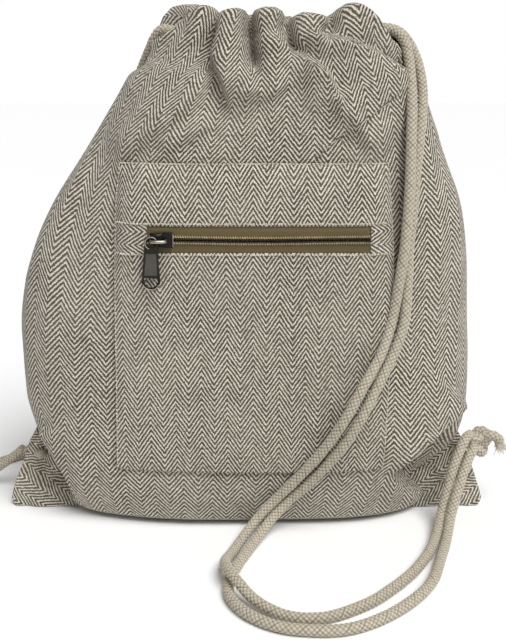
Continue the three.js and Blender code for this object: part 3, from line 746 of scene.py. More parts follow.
def bag_half(columns, lip, relief, side):
    """Grid of points of one half of the bag, base to mouth and down inside, with side -1 for the
    front and 1 for the back; the level direction along each row; and the number of outer rows."""
    base = np.linspace(0.02, 1, 16) ** 0.7
    wall = np.concatenate([np.arange(1.5, 300, 2.7), np.linspace(300, LIP_LEVEL, 40)])
    heights = np.concatenate([np.zeros(len(base)), wall])
    x, y = half_section(heights, columns)
    y = side * np.abs(y)
    factor = np.concatenate([base, np.ones(len(wall))])[:, None]
    middle = table(OUTLINE, heights)[:, 2][:, None]
    x = middle + (x - middle) * factor
    y = y * factor
    z = np.repeat(heights[:, None], columns, axis=1)
    # The base lies just clear of the floor.
    z[:len(base)] = FLOOR_GAP
    # The lip's height differs from gather to gather.
    mouth = np.interp(x, *np.array(lip).T) - LIP_ROLL
    z = z + smoothstep(LIP_START, LIP_LEVEL, z) * (mouth - LIP_LEVEL)
    # Outward direction in plan.
    tx, ty = np.gradient(x, axis=1), np.gradient(y, axis=1)
    size = np.hypot(tx, ty) + 1e-9
    nx, ny = -side * ty / size, side * tx / size
    # The folds die out at the side seams and under the base.
    from_seam = np.minimum(np.arange(columns), np.arange(columns)[::-1]) / columns * 400
    seam = smoothstep(0, 24, from_seam)[None]
    on_wall = np.concatenate([np.linspace(0, 0.6, len(base)), np.ones(len(wall))])[:, None]
    rise = relief(x, z) * seam * on_wall * smoothstep(-6, 30, z + 6 * (on_wall > 0.7))
    x = x + nx * rise
    y = y + ny * rise
    outer = np.stack([x, y, z], axis=-1)
    # Over the lip and down inside.
    edge = outer[-1]
    normal = np.stack([nx[-1], ny[-1], np.zeros(columns)], axis=-1)
    inner = []
    plain = edge - normal * rise[-1][:, None]
    inside = plain - normal * CHANNEL + normal * 0.45 * rise[-1][:, None]
    inside[:, 1] = side * np.maximum(side * inside[:, 1], 1.5)
    for turn in np.linspace(0.12, 1, 9):
        a = turn * math.pi
        across = edge + (inside - edge) * (1 - math.cos(a)) / 2
        inner.append(across + np.array([0, 0, LIP_ROLL * math.sin(a)]))
    for drop in (3, 8, 16, 24, 30, 38, 50, 70, 100):
        slack = smoothstep(26, 60, np.float64(drop)) * 10
        inner.append(inside + normal * slack + np.array([0, 0, -drop]))
    points = np.concatenate([outer, np.array(inner)])
    # The level direction along each row.
    level = np.stack([np.gradient(x, axis=1), np.gradient(y, axis=1)], axis=-1)
    level /= np.linalg.norm(level, axis=-1, keepdims=True) + 1e-9
    level = np.concatenate([level, np.repeat(level[-1:], len(inner), axis=0)])
    return points, level, len(outer)


# How far the weave's columns lean in towards the mouth, in degrees: height, left, right.
LEAN = [
    [0, 0, 0], [100, 2, 2], [155, 11, 7], [200, 17, 11], [236, 24, 14], [272, 31, 17], [305, 35, 19],
    [340, 35, 21], [360, 26, 19], [376, 20, 15],
]
LEAN_LEFT_EDGE = [
    [-20, 380], [-19, 356], [-22.5, 342], [-20.5, 334], [-38, 319], [-64, 292], [-92, 262],
    [-118, 200], [-128, 100], [-128, -5],
]
LEAN_RIGHT_EDGE = [
    [29, 380], [28, 356], [31, 343], [42, 335.5], [50, 328.5], [57, 320], [66, 298], [90, 266],
    [112, 200], [128, 100], [128, -5],
]
# The pleats that the front cloth's weave breaks at.
FRONT_CUTS = [
    [[-20.5, 385], [-20, 370], [-19.8, 360], [-23, 345], [-23.5, 334], [-17.5, 322], [-13, 308]],
    [[1.5, 385], [2.2, 360], [3.2, 350], [4.6, 339], [7, 328]],
    [[29, 385], [28, 366], [28, 354]],
    [[36, 338.5], [42, 334.2], [50, 327], [56, 318.5], [61, 306]],
    [[58, 385], [58.5, 370], [58, 362]],
    [[60, 350], [64, 349], [79, 344], [94, 336.5], [105, 328], [112.5, 319]],
]


def lean(x, z, edge, column, sign, soft):
    """Lean of the columns beyond an edge line."""
    amount = np.radians(table(LEAN, z)[..., column])
    dist, side, _ = polyline_distance(x, z, smooth_line(edge, 80))
    return sign * amount * smoothstep(-soft, soft, dist * side * -sign)


def front_cloth():
    points, level, outer = bag_half(FRONT_COLUMNS, FRONT_LIP, front_relief, -1)
    x, z = points[..., 0], points[..., 2].copy()
    z[outer:] = z[outer - 1]
    soft = 2 + 14 * smoothstep(338, 305, z)
    tilt = lean(x, z, LEAN_LEFT_EDGE, 0, 1, soft) + lean(x, z, LEAN_RIGHT_EDGE, 1, -1, soft)
    uv = cloth_map(points, level, tilt, FRONT_CUTS, outer)
    piece = grid_object("front_cloth", points, uv, CLOTH)
    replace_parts(piece, "front_panel", "front_casing")
    return piece


FRONT = front_cloth()

# Height of the mouth's rear lip. Its lobes stand higher than the front's at the left.
BACK_LIP = [
    [-72, 342], [-66, 352], [-62.5, 360], [-60, 367], [-56, 371.3], [-50, 372.3], [-42, 372.3],
    [-38, 371.5], [-30, 366.5], [-22, 365], [-14, 362], [-8, 365], [4, 366], [12, 362], [18, 364],
    [32, 365], [40, 361], [46, 362], [56, 364], [61, 363], [66, 366], [71, 368.5], [79, 368.5],
    [85, 366], [91, 360], [97, 352],
]
# Creases of the back: line in X and Z, depth, width, fade at the ends.
BACK_CREASES = [
    ([[-40, 374], [-42, 350], [-50, 325], [-62, 295]], 10, 5, (0.0, 0.5)),
    ([[-14, 374], [-13, 350], [-16, 325], [-20, 290]], 14, 5, (0.0, 0.5)),
    ([[12, 374], [13, 350], [15, 325], [18, 285]], 12, 5, (0.0, 0.5)),
    ([[40, 374], [41, 350], [47, 325], [57, 290]], 14, 5, (0.0, 0.5)),
    ([[61, 374], [63, 350], [74, 325], [88, 295]], 9, 4.5, (0.0, 0.5)),
    ([[-30, 320], [-40, 285], [-52, 250]], 4, 12, (0.3, 0.5)),
    ([[30, 320], [38, 280], [50, 240]], 4, 12, (0.3, 0.5)),
    ([[0, 320], [0, 285], [2, 255]], 3, 12, (0.3, 0.5)),
]
CUT_DEPTH = 8  # the weave breaks at creases deeper than this


def back_relief(x, z):
    out = np.zeros(x.shape)
    for line, depth, width, ends in BACK_CREASES:
        out += crease(x, z, line, depth, width, ends)
    out += smoothstep(300, 356, z) * 1.6 * noise(x / 11 + 9.3, z / 60, 15)
    out += 2.4 * noise(x / 66 + 5.7, z / 80, 21) + 0.4 * noise(x / 10, z / 14, 23)
    return out


def back_cloth():
    points, level, outer = bag_half(BACK_COLUMNS, BACK_LIP, back_relief, 1)
    x, z = points[..., 0], points[..., 2].copy()
    z[outer:] = z[outer - 1]
    rows = table(OUTLINE, z)
    across = (x - rows[..., 2]) / rows[..., 0]
    amount = smoothstep(0.1, 0.9, np.abs(across)) * np.radians(table(LEAN, z)[..., 1])
    tilt = -np.sign(across) * amount * 1.2
    cuts = [line for line, depth, *_ in BACK_CREASES if depth > CUT_DEPTH]
    uv = cloth_map(points, level, tilt, cuts, outer)
    uv[..., 0] = GIRTH - uv[..., 0]
    piece = grid_object("back_cloth", points, uv, CLOTH, flip=True)
    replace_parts(piece, "back_panel", "back_casing")
    return piece


BACK = back_cloth()

# ---- Cords inside the hem ----

CHANNEL_LEVEL = 351.3  # height of the cords inside the hem


def hidden_run(name, near, far, level, rise):
    """The stretch of a cord inside the gathered hem: it enters at the near end of one side, turns
    round at the far end of the mouth and comes back through the other side."""
    points = []
    for lip in (-1, 1):
        for t in np.linspace(0, 1, 8) if lip < 0 else np.linspace(1, 0, 8):
            ends = smoothstep(0.55, 1.0, abs(2 * t - 1))
            y = 14.5 * (1 - ends) + (9 if t < 0.5 else 7) * ends
            z = CHANNEL_LEVEL + level + rise * (1 - t) ** 3
            points.append([near + (far - near) * t, lip * y, z])
        if lip < 0:
            points.append([far + 4 * np.sign(far - near), 0, CHANNEL_LEVEL + level])
    path, _ = spline(points, 1.2)
    piece = cord_object(name + "_cord", path, seed=9 + int(near > 0))
    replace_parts(piece, name)
    return piece


hidden_run("right_cord_in_casing", 93, -52, 0.5, 4.0)
hidden_run("left_cord_in_casing", -57, 78, -4.3, 8.0)


# ---- Pocket ----

POCKET_TOP = 267.5
POCKET_BOTTOM = 50.5
ZIP_TOP = 227.0
ZIP_MIDDLE = 218.0
ZIP_BOTTOM = 209.0
ZIP_LEFT = -66.0
ZIP_RIGHT = 84.0
ZIP_FACE = (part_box("zip_tape_upper")[0][1] - SHIFT_Y) / MM  # y of the tapes' front face
# How a hem turns back and under: how far in from the edge, and how far behind the face.
HEM = ((0.15, 0.35), (0.0, 0.8), (0.25, 1.3), (1.2, 1.6), (4.0, 1.7))
SEWN_PROUD = 2.3  # how far the pocket's sewn edges stand out of the bag


def pocket_left(z):
    return np.interp(z, [48, 120, 200, 240, 268], [-93.0, -91.2, -90.0, -89.0, -86.0])


def pocket_right(z):
    return np.interp(z, [48, 120, 180, 215, 240, 268], [98.5, 101.0, 102.0, 101.0, 99.0, 96.8])


def puckers(along, wave, seed, away):
    """Small puckers along a sewn edge, dying out with the distance away from it."""
    drift = 2 * noise(along / 12, along * 0 + 0.5, seed)
    return 0.35 * np.sin(along / wave + drift) * np.exp(-away / 4)


def pocket_front(x, z):
    """Y of the pocket's face. Sewn down at its edges, and standing off the bag between them."""
    body = front_y(x, z) - front_relief(x, z)
    left, right = pocket_left(z), pocket_right(z)
    edge = np.minimum(x - left, right - x)
    low, high = z - POCKET_BOTTOM, POCKET_TOP - z
    sides = 1 - np.exp(-np.maximum(edge, 0) / 7.5)
    ends = (1 - np.exp(-np.maximum(low, 0) / 12.0)) * (1 - np.exp(-np.maximum(high, 0) / 16.0))
    flat = ZIP_FACE - 1.4
    # The zip holds the cloth flat; below it the pocket hangs a little slack.
    held = np.exp(-(((z - ZIP_MIDDLE) / 26) ** 2))
    sag = 1.3 * noise(x / 46 + 2.2, z / 52, 31) + 0.5 * noise(x / 19 + 8.2, z / 24, 32)
    sag += 1.1 * np.exp(-(((x + 20) / 60) ** 2 + ((z - 120) / 50) ** 2))
    free = np.minimum(body - 3.0, flat + 2.0) * 0.55 + flat * 0.45
    standing = flat * held + free * (1 - held) - sag * (1 - held)
    sewn = body - SEWN_PROUD
    y = sewn + (np.minimum(standing, sewn) - sewn) * sides * ends
    pucker = puckers(z, 2.9, 33, np.maximum(edge, 0))
    pucker += puckers(x, 3.1, 34, np.minimum(np.abs(low), np.abs(high)))
    return y - np.abs(pucker) * 0.8


def edge_x(edge, z):
    """X of a side edge, given as a function of z or as a number."""
    return edge(z) if callable(edge) else np.full(z.shape, float(edge))


def hem(points, axis, at_start):
    """Turns the cloth back and under at the start or the end of one axis of a grid of points."""
    row = np.take(points, [0 if at_start else -1], axis=axis)
    towards = np.take(points, [3 if at_start else -4], axis=axis) - row
    towards /= np.linalg.norm(towards, axis=-1, keepdims=True) + 1e-9
    turned = [row + towards * inset + np.array([0, back, 0]) for inset, back in HEM]
    if at_start:
        return np.concatenate(turned[::-1] + [points], axis=axis)
    return np.concatenate([points] + turned, axis=axis)


def pocket_patch(name, node, left, right, bottom, top, columns, rows, shift, tab=False):
    """A piece of pocket cloth with rolled hems. A tab has them at its sides only, and its weave is
    turned a quarter round. shift moves the weave."""
    uu, vv = np.meshgrid(np.linspace(0, 1, columns), np.linspace(0, 1, rows))
    z = bottom + (top - bottom) * vv
    lo, hi = edge_x(left, z), edge_x(right, z)
    x = lo + (hi - lo) * uu
    # The lower edge hangs down a little in the middle.
    bow = np.sin(np.clip((x + 90) / 190, 0, 1) * math.pi)
    z = z - np.where(z < 120, 2.2 * bow * smoothstep(110, 50, z), 0)
    points = np.stack([x, pocket_front(x, z), z], axis=-1)
    for axis in (1,) if tab else (1, 0):
        points = hem(hem(points, axis, True), axis, False)
    x, z = points[..., 0], points[..., 2]
    step = np.linalg.norm(np.diff(points, axis=1), axis=2)
    run = np.concatenate([np.zeros((len(points), 1)), np.cumsum(step, axis=1)], axis=1)
    middle = points.shape[1] // 2
    cloth_u = run - run[:, middle:middle + 1] + x[:, middle:middle + 1] + shift[0]
    cloth_w = z + shift[1]
    uv = np.stack([cloth_w, cloth_u] if tab else [cloth_u, cloth_w], axis=-1)
    piece = grid_object(name, points, uv, CLOTH)
    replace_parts(piece, node)
    return piece


POCKET_UPPER = pocket_patch(
    "pocket_upper_cloth", "pocket_upper_panel",
    pocket_left, pocket_right, ZIP_TOP, POCKET_TOP, 150, 40, (4.0, 0.4))
POCKET_LOWER = pocket_patch(
    "pocket_lower_cloth", "pocket_lower_panel",
    pocket_left, pocket_right, POCKET_BOTTOM, ZIP_BOTTOM, 150, 120, (4.0, 0.0))
pocket_patch(
    "pocket_left_tab_cloth", "pocket_left_tab",
    pocket_left, ZIP_LEFT, ZIP_BOTTOM - 1.0, ZIP_TOP + 1.0, 24, 20, (0, 3), tab=True)
pocket_patch(
    "pocket_right_tab_cloth", "pocket_right_tab",
    ZIP_RIGHT, pocket_right, ZIP_BOTTOM - 1.0, ZIP_TOP + 1.0, 18, 20, (0, 3), tab=True)

# ---- Pocket stitching ----

def stitches(name, paths, pitch, length, width, proud, seed):
    """Rows of stitches along paths in the X, Z plane, lying on the pocket."""
    rng = np.random.default_rng(seed)
    ring, rows = 6, 5
    places = []
    for path in paths:
        path = smooth_line(path, 200)
        run = np.concatenate([[0], np.cumsum(np.linalg.norm(np.diff(path, axis=0), axis=1))])
        at = np.arange(pitch / 2, run[-1] - 1, pitch)
        at = at + rng.uniform(-0.1, 0.1, len(at)) * pitch
        x, z = (np.interp(at, run, path[:, k]) for k in (0, 1))
        ahead = [np.interp(at + 1, run, path[:, k]) for k in (0, 1)]
        places.append(np.column_stack([x, z, np.arctan2(ahead[1] - z, ahead[0] - x)]))
    x, z, angle = np.concatenate(places).T
    count = len(x)
    y = pocket_front(x, z) - proud
    angle = (angle + rng.uniform(-0.28, 0.28, count))[:, None, None]
    half = length / 2 * rng.uniform(0.8, 1.15, count)
    thick = width / 2 * rng.uniform(0.85, 1.15, count)
    t = np.linspace(-1, 1, rows)[None, :, None]
    a = np.linspace(0, 2 * math.pi, ring, endpoint=False)[None, None, :]
    along = half[:, None, None] * t + 0 * a
    wide = thick[:, None, None] * np.sqrt(1 - (0.9 * t) ** 2)
    over = wide * np.cos(a)
    up = wide * np.sin(a) * 0.8 - 0.25 * t**2 * proud
    verts = np.stack([
        x[:, None, None] + along * np.cos(angle) - over * np.sin(angle),
        y[:, None, None] - up,
        z[:, None, None] + along * np.sin(angle) + over * np.cos(angle),
    ], axis=-1).reshape(-1, 3)
    faces, rc = grid_faces(rows, ring, wrap=True)
    faces = (faces[None] + (np.arange(count) * rows * ring)[:, None, None]).reshape(-1, 4)
    uvs = np.tile(np.stack([rc[..., 1] * 0.4, rc[..., 0] * 0.5], axis=-1), (count, 1, 1))
    uvs[..., 0] += np.repeat(np.arange(count) * 3.7, len(rc))[:, None]
    piece = new_object(name, verts, [faces], STITCH_THREAD, uvs / 100)
    return piece


def pocket_edge(inset):
    """The pocket's outline, this far in from its edges."""
    z = np.linspace(POCKET_BOTTOM + inset, POCKET_TOP - inset, 12)
    left = np.column_stack([pocket_left(z) + inset, z])
    right = np.column_stack([pocket_right(z) - inset, z])
    return left, right


# ---- Zip ----

SLIDER_MIDDLE = -55.0
TAPE_GAP = 0.9  # from the zip's middle line to a tape's inner edge
TAPE_WIDTH = 10.4
COIL_PITCH = 1.35
COIL_STITCH = 1.6  # from one stitch of the coil's thread to the next


def tape_material():
    m = Nodes("zip_tape")
    u, w = m.cloth()
    ribs = m.math("MULTIPLY_ADD", m.math("SINE", m.math("MULTIPLY", w, 2 * math.pi / 0.9)), 0.5, 0.5)
    cross = m.math("MULTIPLY_ADD", m.math("SINE", m.math("MULTIPLY", u, 2 * math.pi / 0.6)), 0.5, 0.5)
    grain = m.noise(m.vector(m.math("MULTIPLY", u, 1.5), m.math("MULTIPLY", w, 1.5)), 1.0, 3.0)
    lines = m.math("ADD", m.math("MULTIPLY", cross, 0.2), m.math("MULTIPLY", grain, 0.6))
    tone = m.math("ADD", m.math("MULTIPLY", ribs, 0.35), lines)
    colour = m.mix(m.ramp(tone, 0.2, 1.0), (0.060, 0.041, 0.012, 1), (0.180, 0.130, 0.044, 1))
    m.set(m.shader.inputs["Base Color"], colour)
    m.set(m.shader.inputs["Roughness"], m.math("MULTIPLY_ADD", grain, 0.2, 0.55))
    m.shader.inputs["Sheen Weight"].default_value = 0.15
    m.bump(tone, 0.0002, 0.6)
    return m.material


def plain_material(name, dark, light, rough, metallic=0.0, scale=2.0, bump=0.00005, specular=0.5):
    """A material with a fine mottle between two colours, on the piece's own coordinates."""
    m = Nodes(name)
    place = m.add("TexCoord").outputs["Object"]
    grain = m.noise(place, scale * 1000, 3.0, 0.6)
    broad = m.noise(place, scale * 130, 2.0)
    tone = m.math("ADD", m.math("MULTIPLY", grain, 0.6), m.math("MULTIPLY", broad, 0.4))
    m.set(m.shader.inputs["Base Color"], m.mix(m.ramp(tone, 0.3, 0.7), list(dark) + [1], list(light) + [1]))
    m.set(m.shader.inputs["Roughness"], m.math("MULTIPLY_ADD", tone, 0.24, rough - 0.12))
    m.shader.inputs["Metallic"].default_value = metallic
    m.shader.inputs["Specular IOR Level"].default_value = specular
    m.bump(grain, bump, 0.5)
    return m.material


TAPE_COTTON = tape_material()
COIL_NYLON = plain_material("zip_coil", (0.006, 0.005, 0.004), (0.02, 0.016, 0.011), 0.42)
COIL_THREAD = plain_material("zip_stitching", (0.30, 0.225, 0.105), (0.58, 0.47, 0.27), 0.6)
SLIDER_BLACK = plain_material(
    "slider_black", (0.003, 0.0028, 0.0025), (0.010, 0.009, 0.008), 0.36, 0.5, 1.6)
GUNMETAL = plain_material(
    "gunmetal", (0.014, 0.012, 0.009), (0.036, 0.031, 0.024), 0.32, 0.8, 1.6)
# Light metal colour that is a painted highlight on the crown, the slider's mouth edge and the puller's
# rims.
GUNMETAL_PAINTED_HIGHLIGHT = plain_material(
    "gunmetal_painted_highlight", (0.34, 0.31, 0.26), (0.55, 0.50, 0.43), 0.34, 0.9, 1.6)
GUNMETAL_PANEL = plain_material(
    "gunmetal_panel", (0.055, 0.053, 0.049), (0.105, 0.100, 0.090), 0.5, 0.5, 1.6)
STITCH_THREAD = plain_material(
    "stitch_thread", (0.40, 0.35, 0.26), (0.80, 0.75, 0.64), 0.85, 0.0, 0.7, specular=0.2)

LEFT_EDGE, RIGHT_EDGE = pocket_edge(0.6)
stitches(
    "pocket_edge_stitching", [LEFT_EDGE, RIGHT_EDGE, [LEFT_EDGE[-1], RIGHT_EDGE[-1]]],
    pitch=2.7, length=2.1, width=1.0, proud=0.35, seed=71)
stitches(
    "pocket_zip_overlock", [
        [[-88, ZIP_TOP + 1.6], [96, ZIP_TOP + 1.6]],
        [[-88, ZIP_BOTTOM - 1.2], [98, ZIP_BOTTOM - 1.2]],
    ],
    pitch=2.1, length=1.6, width=1.25, proud=0.45, seed=72)


def zip_wave(x):
    """The closed zip isn't quite straight: it sags a little in the middle."""
    return -0.8 * np.sin(np.clip((x - ZIP_LEFT) / (ZIP_RIGHT - ZIP_LEFT), 0, 1) * math.pi) ** 2


def zip_sheet(name, side, x, y, z, material, node=None):
    piece = grid_object(
        name, np.stack([x, y, z], axis=-1), np.stack([x, z], axis=-1), material, flip=side < 0)
    if node:
        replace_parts(piece, node)


def tape(name, side, node):
    x, t = np.meshgrid(np.linspace(ZIP_LEFT - 4, ZIP_RIGHT + 4, 160), np.linspace(0, 1, 16))
    z = ZIP_MIDDLE + side * (TAPE_GAP + TAPE_WIDTH * t) + zip_wave(x) * (1 - t)
    ends = smoothstep(ZIP_LEFT - 2, ZIP_LEFT + 6, x) * smoothstep(ZIP_RIGHT + 2, ZIP_RIGHT - 6, x)
    y = ZIP_FACE + 0.25 - (0.45 * np.sin(t * math.pi) + 0.15 * noise(x / 9, t * 2, 41 + side)) * ends
    # It never comes in front of the cloth that it is sewn behind.
    cloth = pocket_front(x, z)
    y = np.where(t > 0.62, np.maximum(y, cloth + 0.7), y)
    y = np.where((x < ZIP_LEFT + 1) | (x > ZIP_RIGHT - 1), np.maximum(y, cloth + 0.8), y)
    zip_sheet(name, side, x, y, z, TAPE_COTTON, node)


def coil(name, side, node):
    """Nylon teeth, as one row of rounded loops."""
    steps = np.arange(ZIP_LEFT + 0.4, ZIP_RIGHT - 0.4, COIL_PITCH / 10)
    x, t = np.meshgrid(steps, np.linspace(0, 1, 13))
    beat = 0.5 + 0.5 * np.cos(2 * math.pi * (x / COIL_PITCH + (0.5 if side > 0 else 0.0)))
    inner = 0.25 - 0.02 * beat
    outer = 1.25 + 0.25 * beat
    turn = t * math.pi
    z = ZIP_MIDDLE + zip_wave(x) + side * (inner + (outer - inner) * (1 - np.cos(turn)) / 2)
    y = ZIP_FACE - 0.15 - (1.35 + 0.4 * beat) * np.sin(turn) ** 0.7
    zip_sheet(name, side, x, y, z, COIL_NYLON, node)


def coil_stitching(name, side):
    """The thread that holds a coil to its tape: a row of small slanted stitches."""
    steps = np.arange(ZIP_LEFT + 0.4, ZIP_RIGHT - 0.4, 0.11)
    x, t = np.meshgrid(steps, np.linspace(0, 1, 11))
    beat = (0.5 + 0.5 * np.cos(2 * math.pi * (x + side * 0.5 * t) / COIL_STITCH)) ** 0.7
    z = ZIP_MIDDLE + zip_wave(x) + side * (1.55 - 0.5 * beat + (0.45 + 1.6 * beat) * t)
    y = ZIP_FACE - 0.15 - (0.15 + 1.75 * beat) * np.sin(t * math.pi) ** 0.6
    zip_sheet(name, side, x, y, z, COIL_THREAD)


tape("zip_tape_upper_cloth", 1, "zip_tape_upper")
tape("zip_tape_lower_cloth", -1, "zip_tape_lower")
coil("zip_coil_upper_teeth", 1, "zip_coil_upper")
coil("zip_coil_lower_teeth", -1, "zip_coil_lower")
coil_stitching("zip_coil_upper_stitching", 1)
coil_stitching("zip_coil_lower_stitching", -1)


def flat_part(name, loops, thickness, bevel, material, body, place):
    """A flat plate cut to closed loops of X and Z, with rounded edges, in millimetres. place turns
    its own X, Y, Z into the bag's."""
    data = bpy.data.curves.new(name, "CURVE")
    data.dimensions = "2D"
    data.fill_mode = "BOTH"
    data.extrude = (thickness / 2 - bevel) * MM
    data.bevel_depth = bevel * MM
    data.bevel_resolution = 2
    data.offset = -bevel * MM
    for loop in loops:
        edge = data.splines.new("POLY")
        edge.points.add(len(loop) - 1)
        flat = np.zeros((len(loop), 4))
        flat[:, :2] = np.asarray(loop) * MM
        flat[:, 3] = 1
        edge.points.foreach_set("co", flat.ravel())
        edge.use_cyclic_u = True
    holder = bpy.data.objects.new(name + "_outline", data)
    bpy.context.scene.collection.objects.link(holder)
    bpy.context.view_layer.update()
    mesh = bpy.data.meshes.new_from_object(holder.evaluated_get(bpy.context.evaluated_depsgraph_get()))
    bpy.data.objects.remove(holder)
    bpy.data.curves.remove(data)
    points = np.zeros(len(mesh.vertices) * 3)
    mesh.vertices.foreach_get("co", points)
    points = points.reshape(-1, 3) / MM
    placed = place(points[:, 0], points[:, 2], points[:, 1])
    mesh.vertices.foreach_set("co", metres(placed).ravel())
    mesh.update()
    mesh.flip_normals()
    mesh.name = name
    mesh.materials.clear()
    mesh.materials.append(material)
    mesh.shade_smooth()
    mesh.set_sharp_from_angle(angle=math.radians(42))
    piece = bpy.data.objects.new(name, mesh)
    bpy.context.scene.collection.objects.link(piece)
    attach(piece, body)
    return piece


def arc(cx, cz, radius, start, end, count):
    a = np.radians(np.linspace(start, end, count))
    return np.column_stack([cx + radius * np.cos(a), cz + radius * np.sin(a)])


def slider_rod(name, points, step, radius, material, around, flatten=(1.0, 1.0)):
    """A rod of the slider along a curve through the points."""
    path, _ = spline(points, step)
    ring = ring_points(path, np.full((len(path), 1), radius), around, flatten)
    faces, rc = grid_faces(len(path), around, wrap=True)
    uvs = rc[..., ::-1] / 100
    piece = new_object(name, ring.reshape(-1, 3), [faces], material, uvs, "zip_slider")


SLIDER_FRONT = ZIP_FACE - 3.3  # y of the slider's front plate
CROWN_TOP = SLIDER_FRONT - 5.6  # y of the foremost part of the crown
CROWN_FLATTEN = (0.8, 1.35)


def slider_cover():
    """The rounded cover of the lock spring."""
    v, u = np.meshgrid(np.linspace(0, 1, 16), np.linspace(-1, 1, 22), indexing="ij")
    x = -59.6 + 6.2 * (v - 0.5) * 1.4
    z = ZIP_MIDDLE + 1.6 + 3.4 * u
    dome = np.sqrt(np.clip(1 - u**2, 0, 1)) * np.clip(1 - (2 * v - 1) ** 2, 0, 1) ** 0.4
    points = np.stack([x, SLIDER_FRONT - 2.3 * dome + 0.1, z], axis=-1)
    uv = np.stack([x, z], axis=-1)
    piece = grid_object("zip_slider_cover", points, uv, SLIDER_BLACK, "zip_slider")


def slider():
    x0 = SLIDER_MIDDLE
    outline = np.concatenate([
        arc(x0 + 5.6, 3.9, 0.9, 90, 0, 5), arc(x0 + 5.6, -3.9, 0.9, 0, -90, 5),
        [[x0 + 1.5, -4.7], [x0 - 1.0, -4.2]], arc(x0 - 3.6, -0.6, 3.9, -105, -180, 8),
        arc(x0 - 3.6, 0.6, 3.9, 180, 105, 8), [[x0 - 1.0, 4.2], [x0 + 1.5, 4.7]],
    ])[::-1]

    def plate(name, thickness, bevel, plate_y):
        def place(x, y, z):
            return np.stack([x, plate_y + y, ZIP_MIDDLE + z], axis=-1)

        return flat_part(name, [outline], thickness, bevel, SLIDER_BLACK, "zip_slider", place)

    front = plate("zip_slider_body", 1.2, 0.35, SLIDER_FRONT + 0.55)
    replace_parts(front, "zip_slider")
    # Rims that turn down over the tapes at each side, and the back plate.
    for which, side in (("lower", -1), ("upper", 1)):
        rim = [[-2.6, 4.0], [-0.5, 4.35], [2.0, 4.7], [6.2, 4.6]]
        rim = [[x0 + dx, SLIDER_FRONT + 1.35, side * dz + ZIP_MIDDLE] for dx, dz in rim]
        slider_rod(f"zip_slider_rim_{which}", rim, 0.5, 0.62, SLIDER_BLACK, 10)
    plate("zip_slider_back_plate", 0.9, 0.25, ZIP_FACE + 1.4)
    post = [[x0, SLIDER_FRONT + 0.6, ZIP_MIDDLE], [x0, ZIP_FACE + 1.2, ZIP_MIDDLE]]
    slider_rod("zip_slider_post", post, 0.4, 0.42, SLIDER_BLACK, 8)
    # A bright edge at the slider's mouth, coloured as a painted highlight.
    lip = [
        [x0 + 6.55, SLIDER_FRONT - 0.05, ZIP_MIDDLE - 4.2],
        [x0 + 6.6, SLIDER_FRONT - 0.15, ZIP_MIDDLE],
        [x0 + 6.55, SLIDER_FRONT - 0.05, ZIP_MIDDLE + 4.2],
    ]
    slider_rod("zip_slider_lip", lip, 0.5, 0.26, GUNMETAL_PAINTED_HIGHLIGHT, 8)
    # The crown: a strap from the nose to the back of the slider, over the eye of the puller.
    crown = [
        [-63.4, SLIDER_FRONT + 0.7], [-63.2, SLIDER_FRONT - 2.0], [-62.4, CROWN_TOP + 0.9],
        [-60.4, CROWN_TOP], [-57.5, CROWN_TOP - 0.1], [-54.6, CROWN_TOP + 0.4],
        [-53.1, CROWN_TOP + 1.6], [-52.8, SLIDER_FRONT - 1.5], [-52.8, SLIDER_FRONT + 0.6],
    ]
    crown = [[x, y, ZIP_MIDDLE] for x, y in crown]
    # The crown's light metal colour is a painted highlight.
    slider_rod("zip_slider_crown", crown, 0.35, 0.8, GUNMETAL_PAINTED_HIGHLIGHT, 14, CROWN_FLATTEN)
    nose = [[-63.6, SLIDER_FRONT + 0.6, ZIP_MIDDLE], [-60.0, SLIDER_FRONT + 0.6, ZIP_MIDDLE]]
    slider_rod("zip_slider_nose", nose, 0.4, 1.1, SLIDER_BLACK, 10)
    slider_cover()


slider()


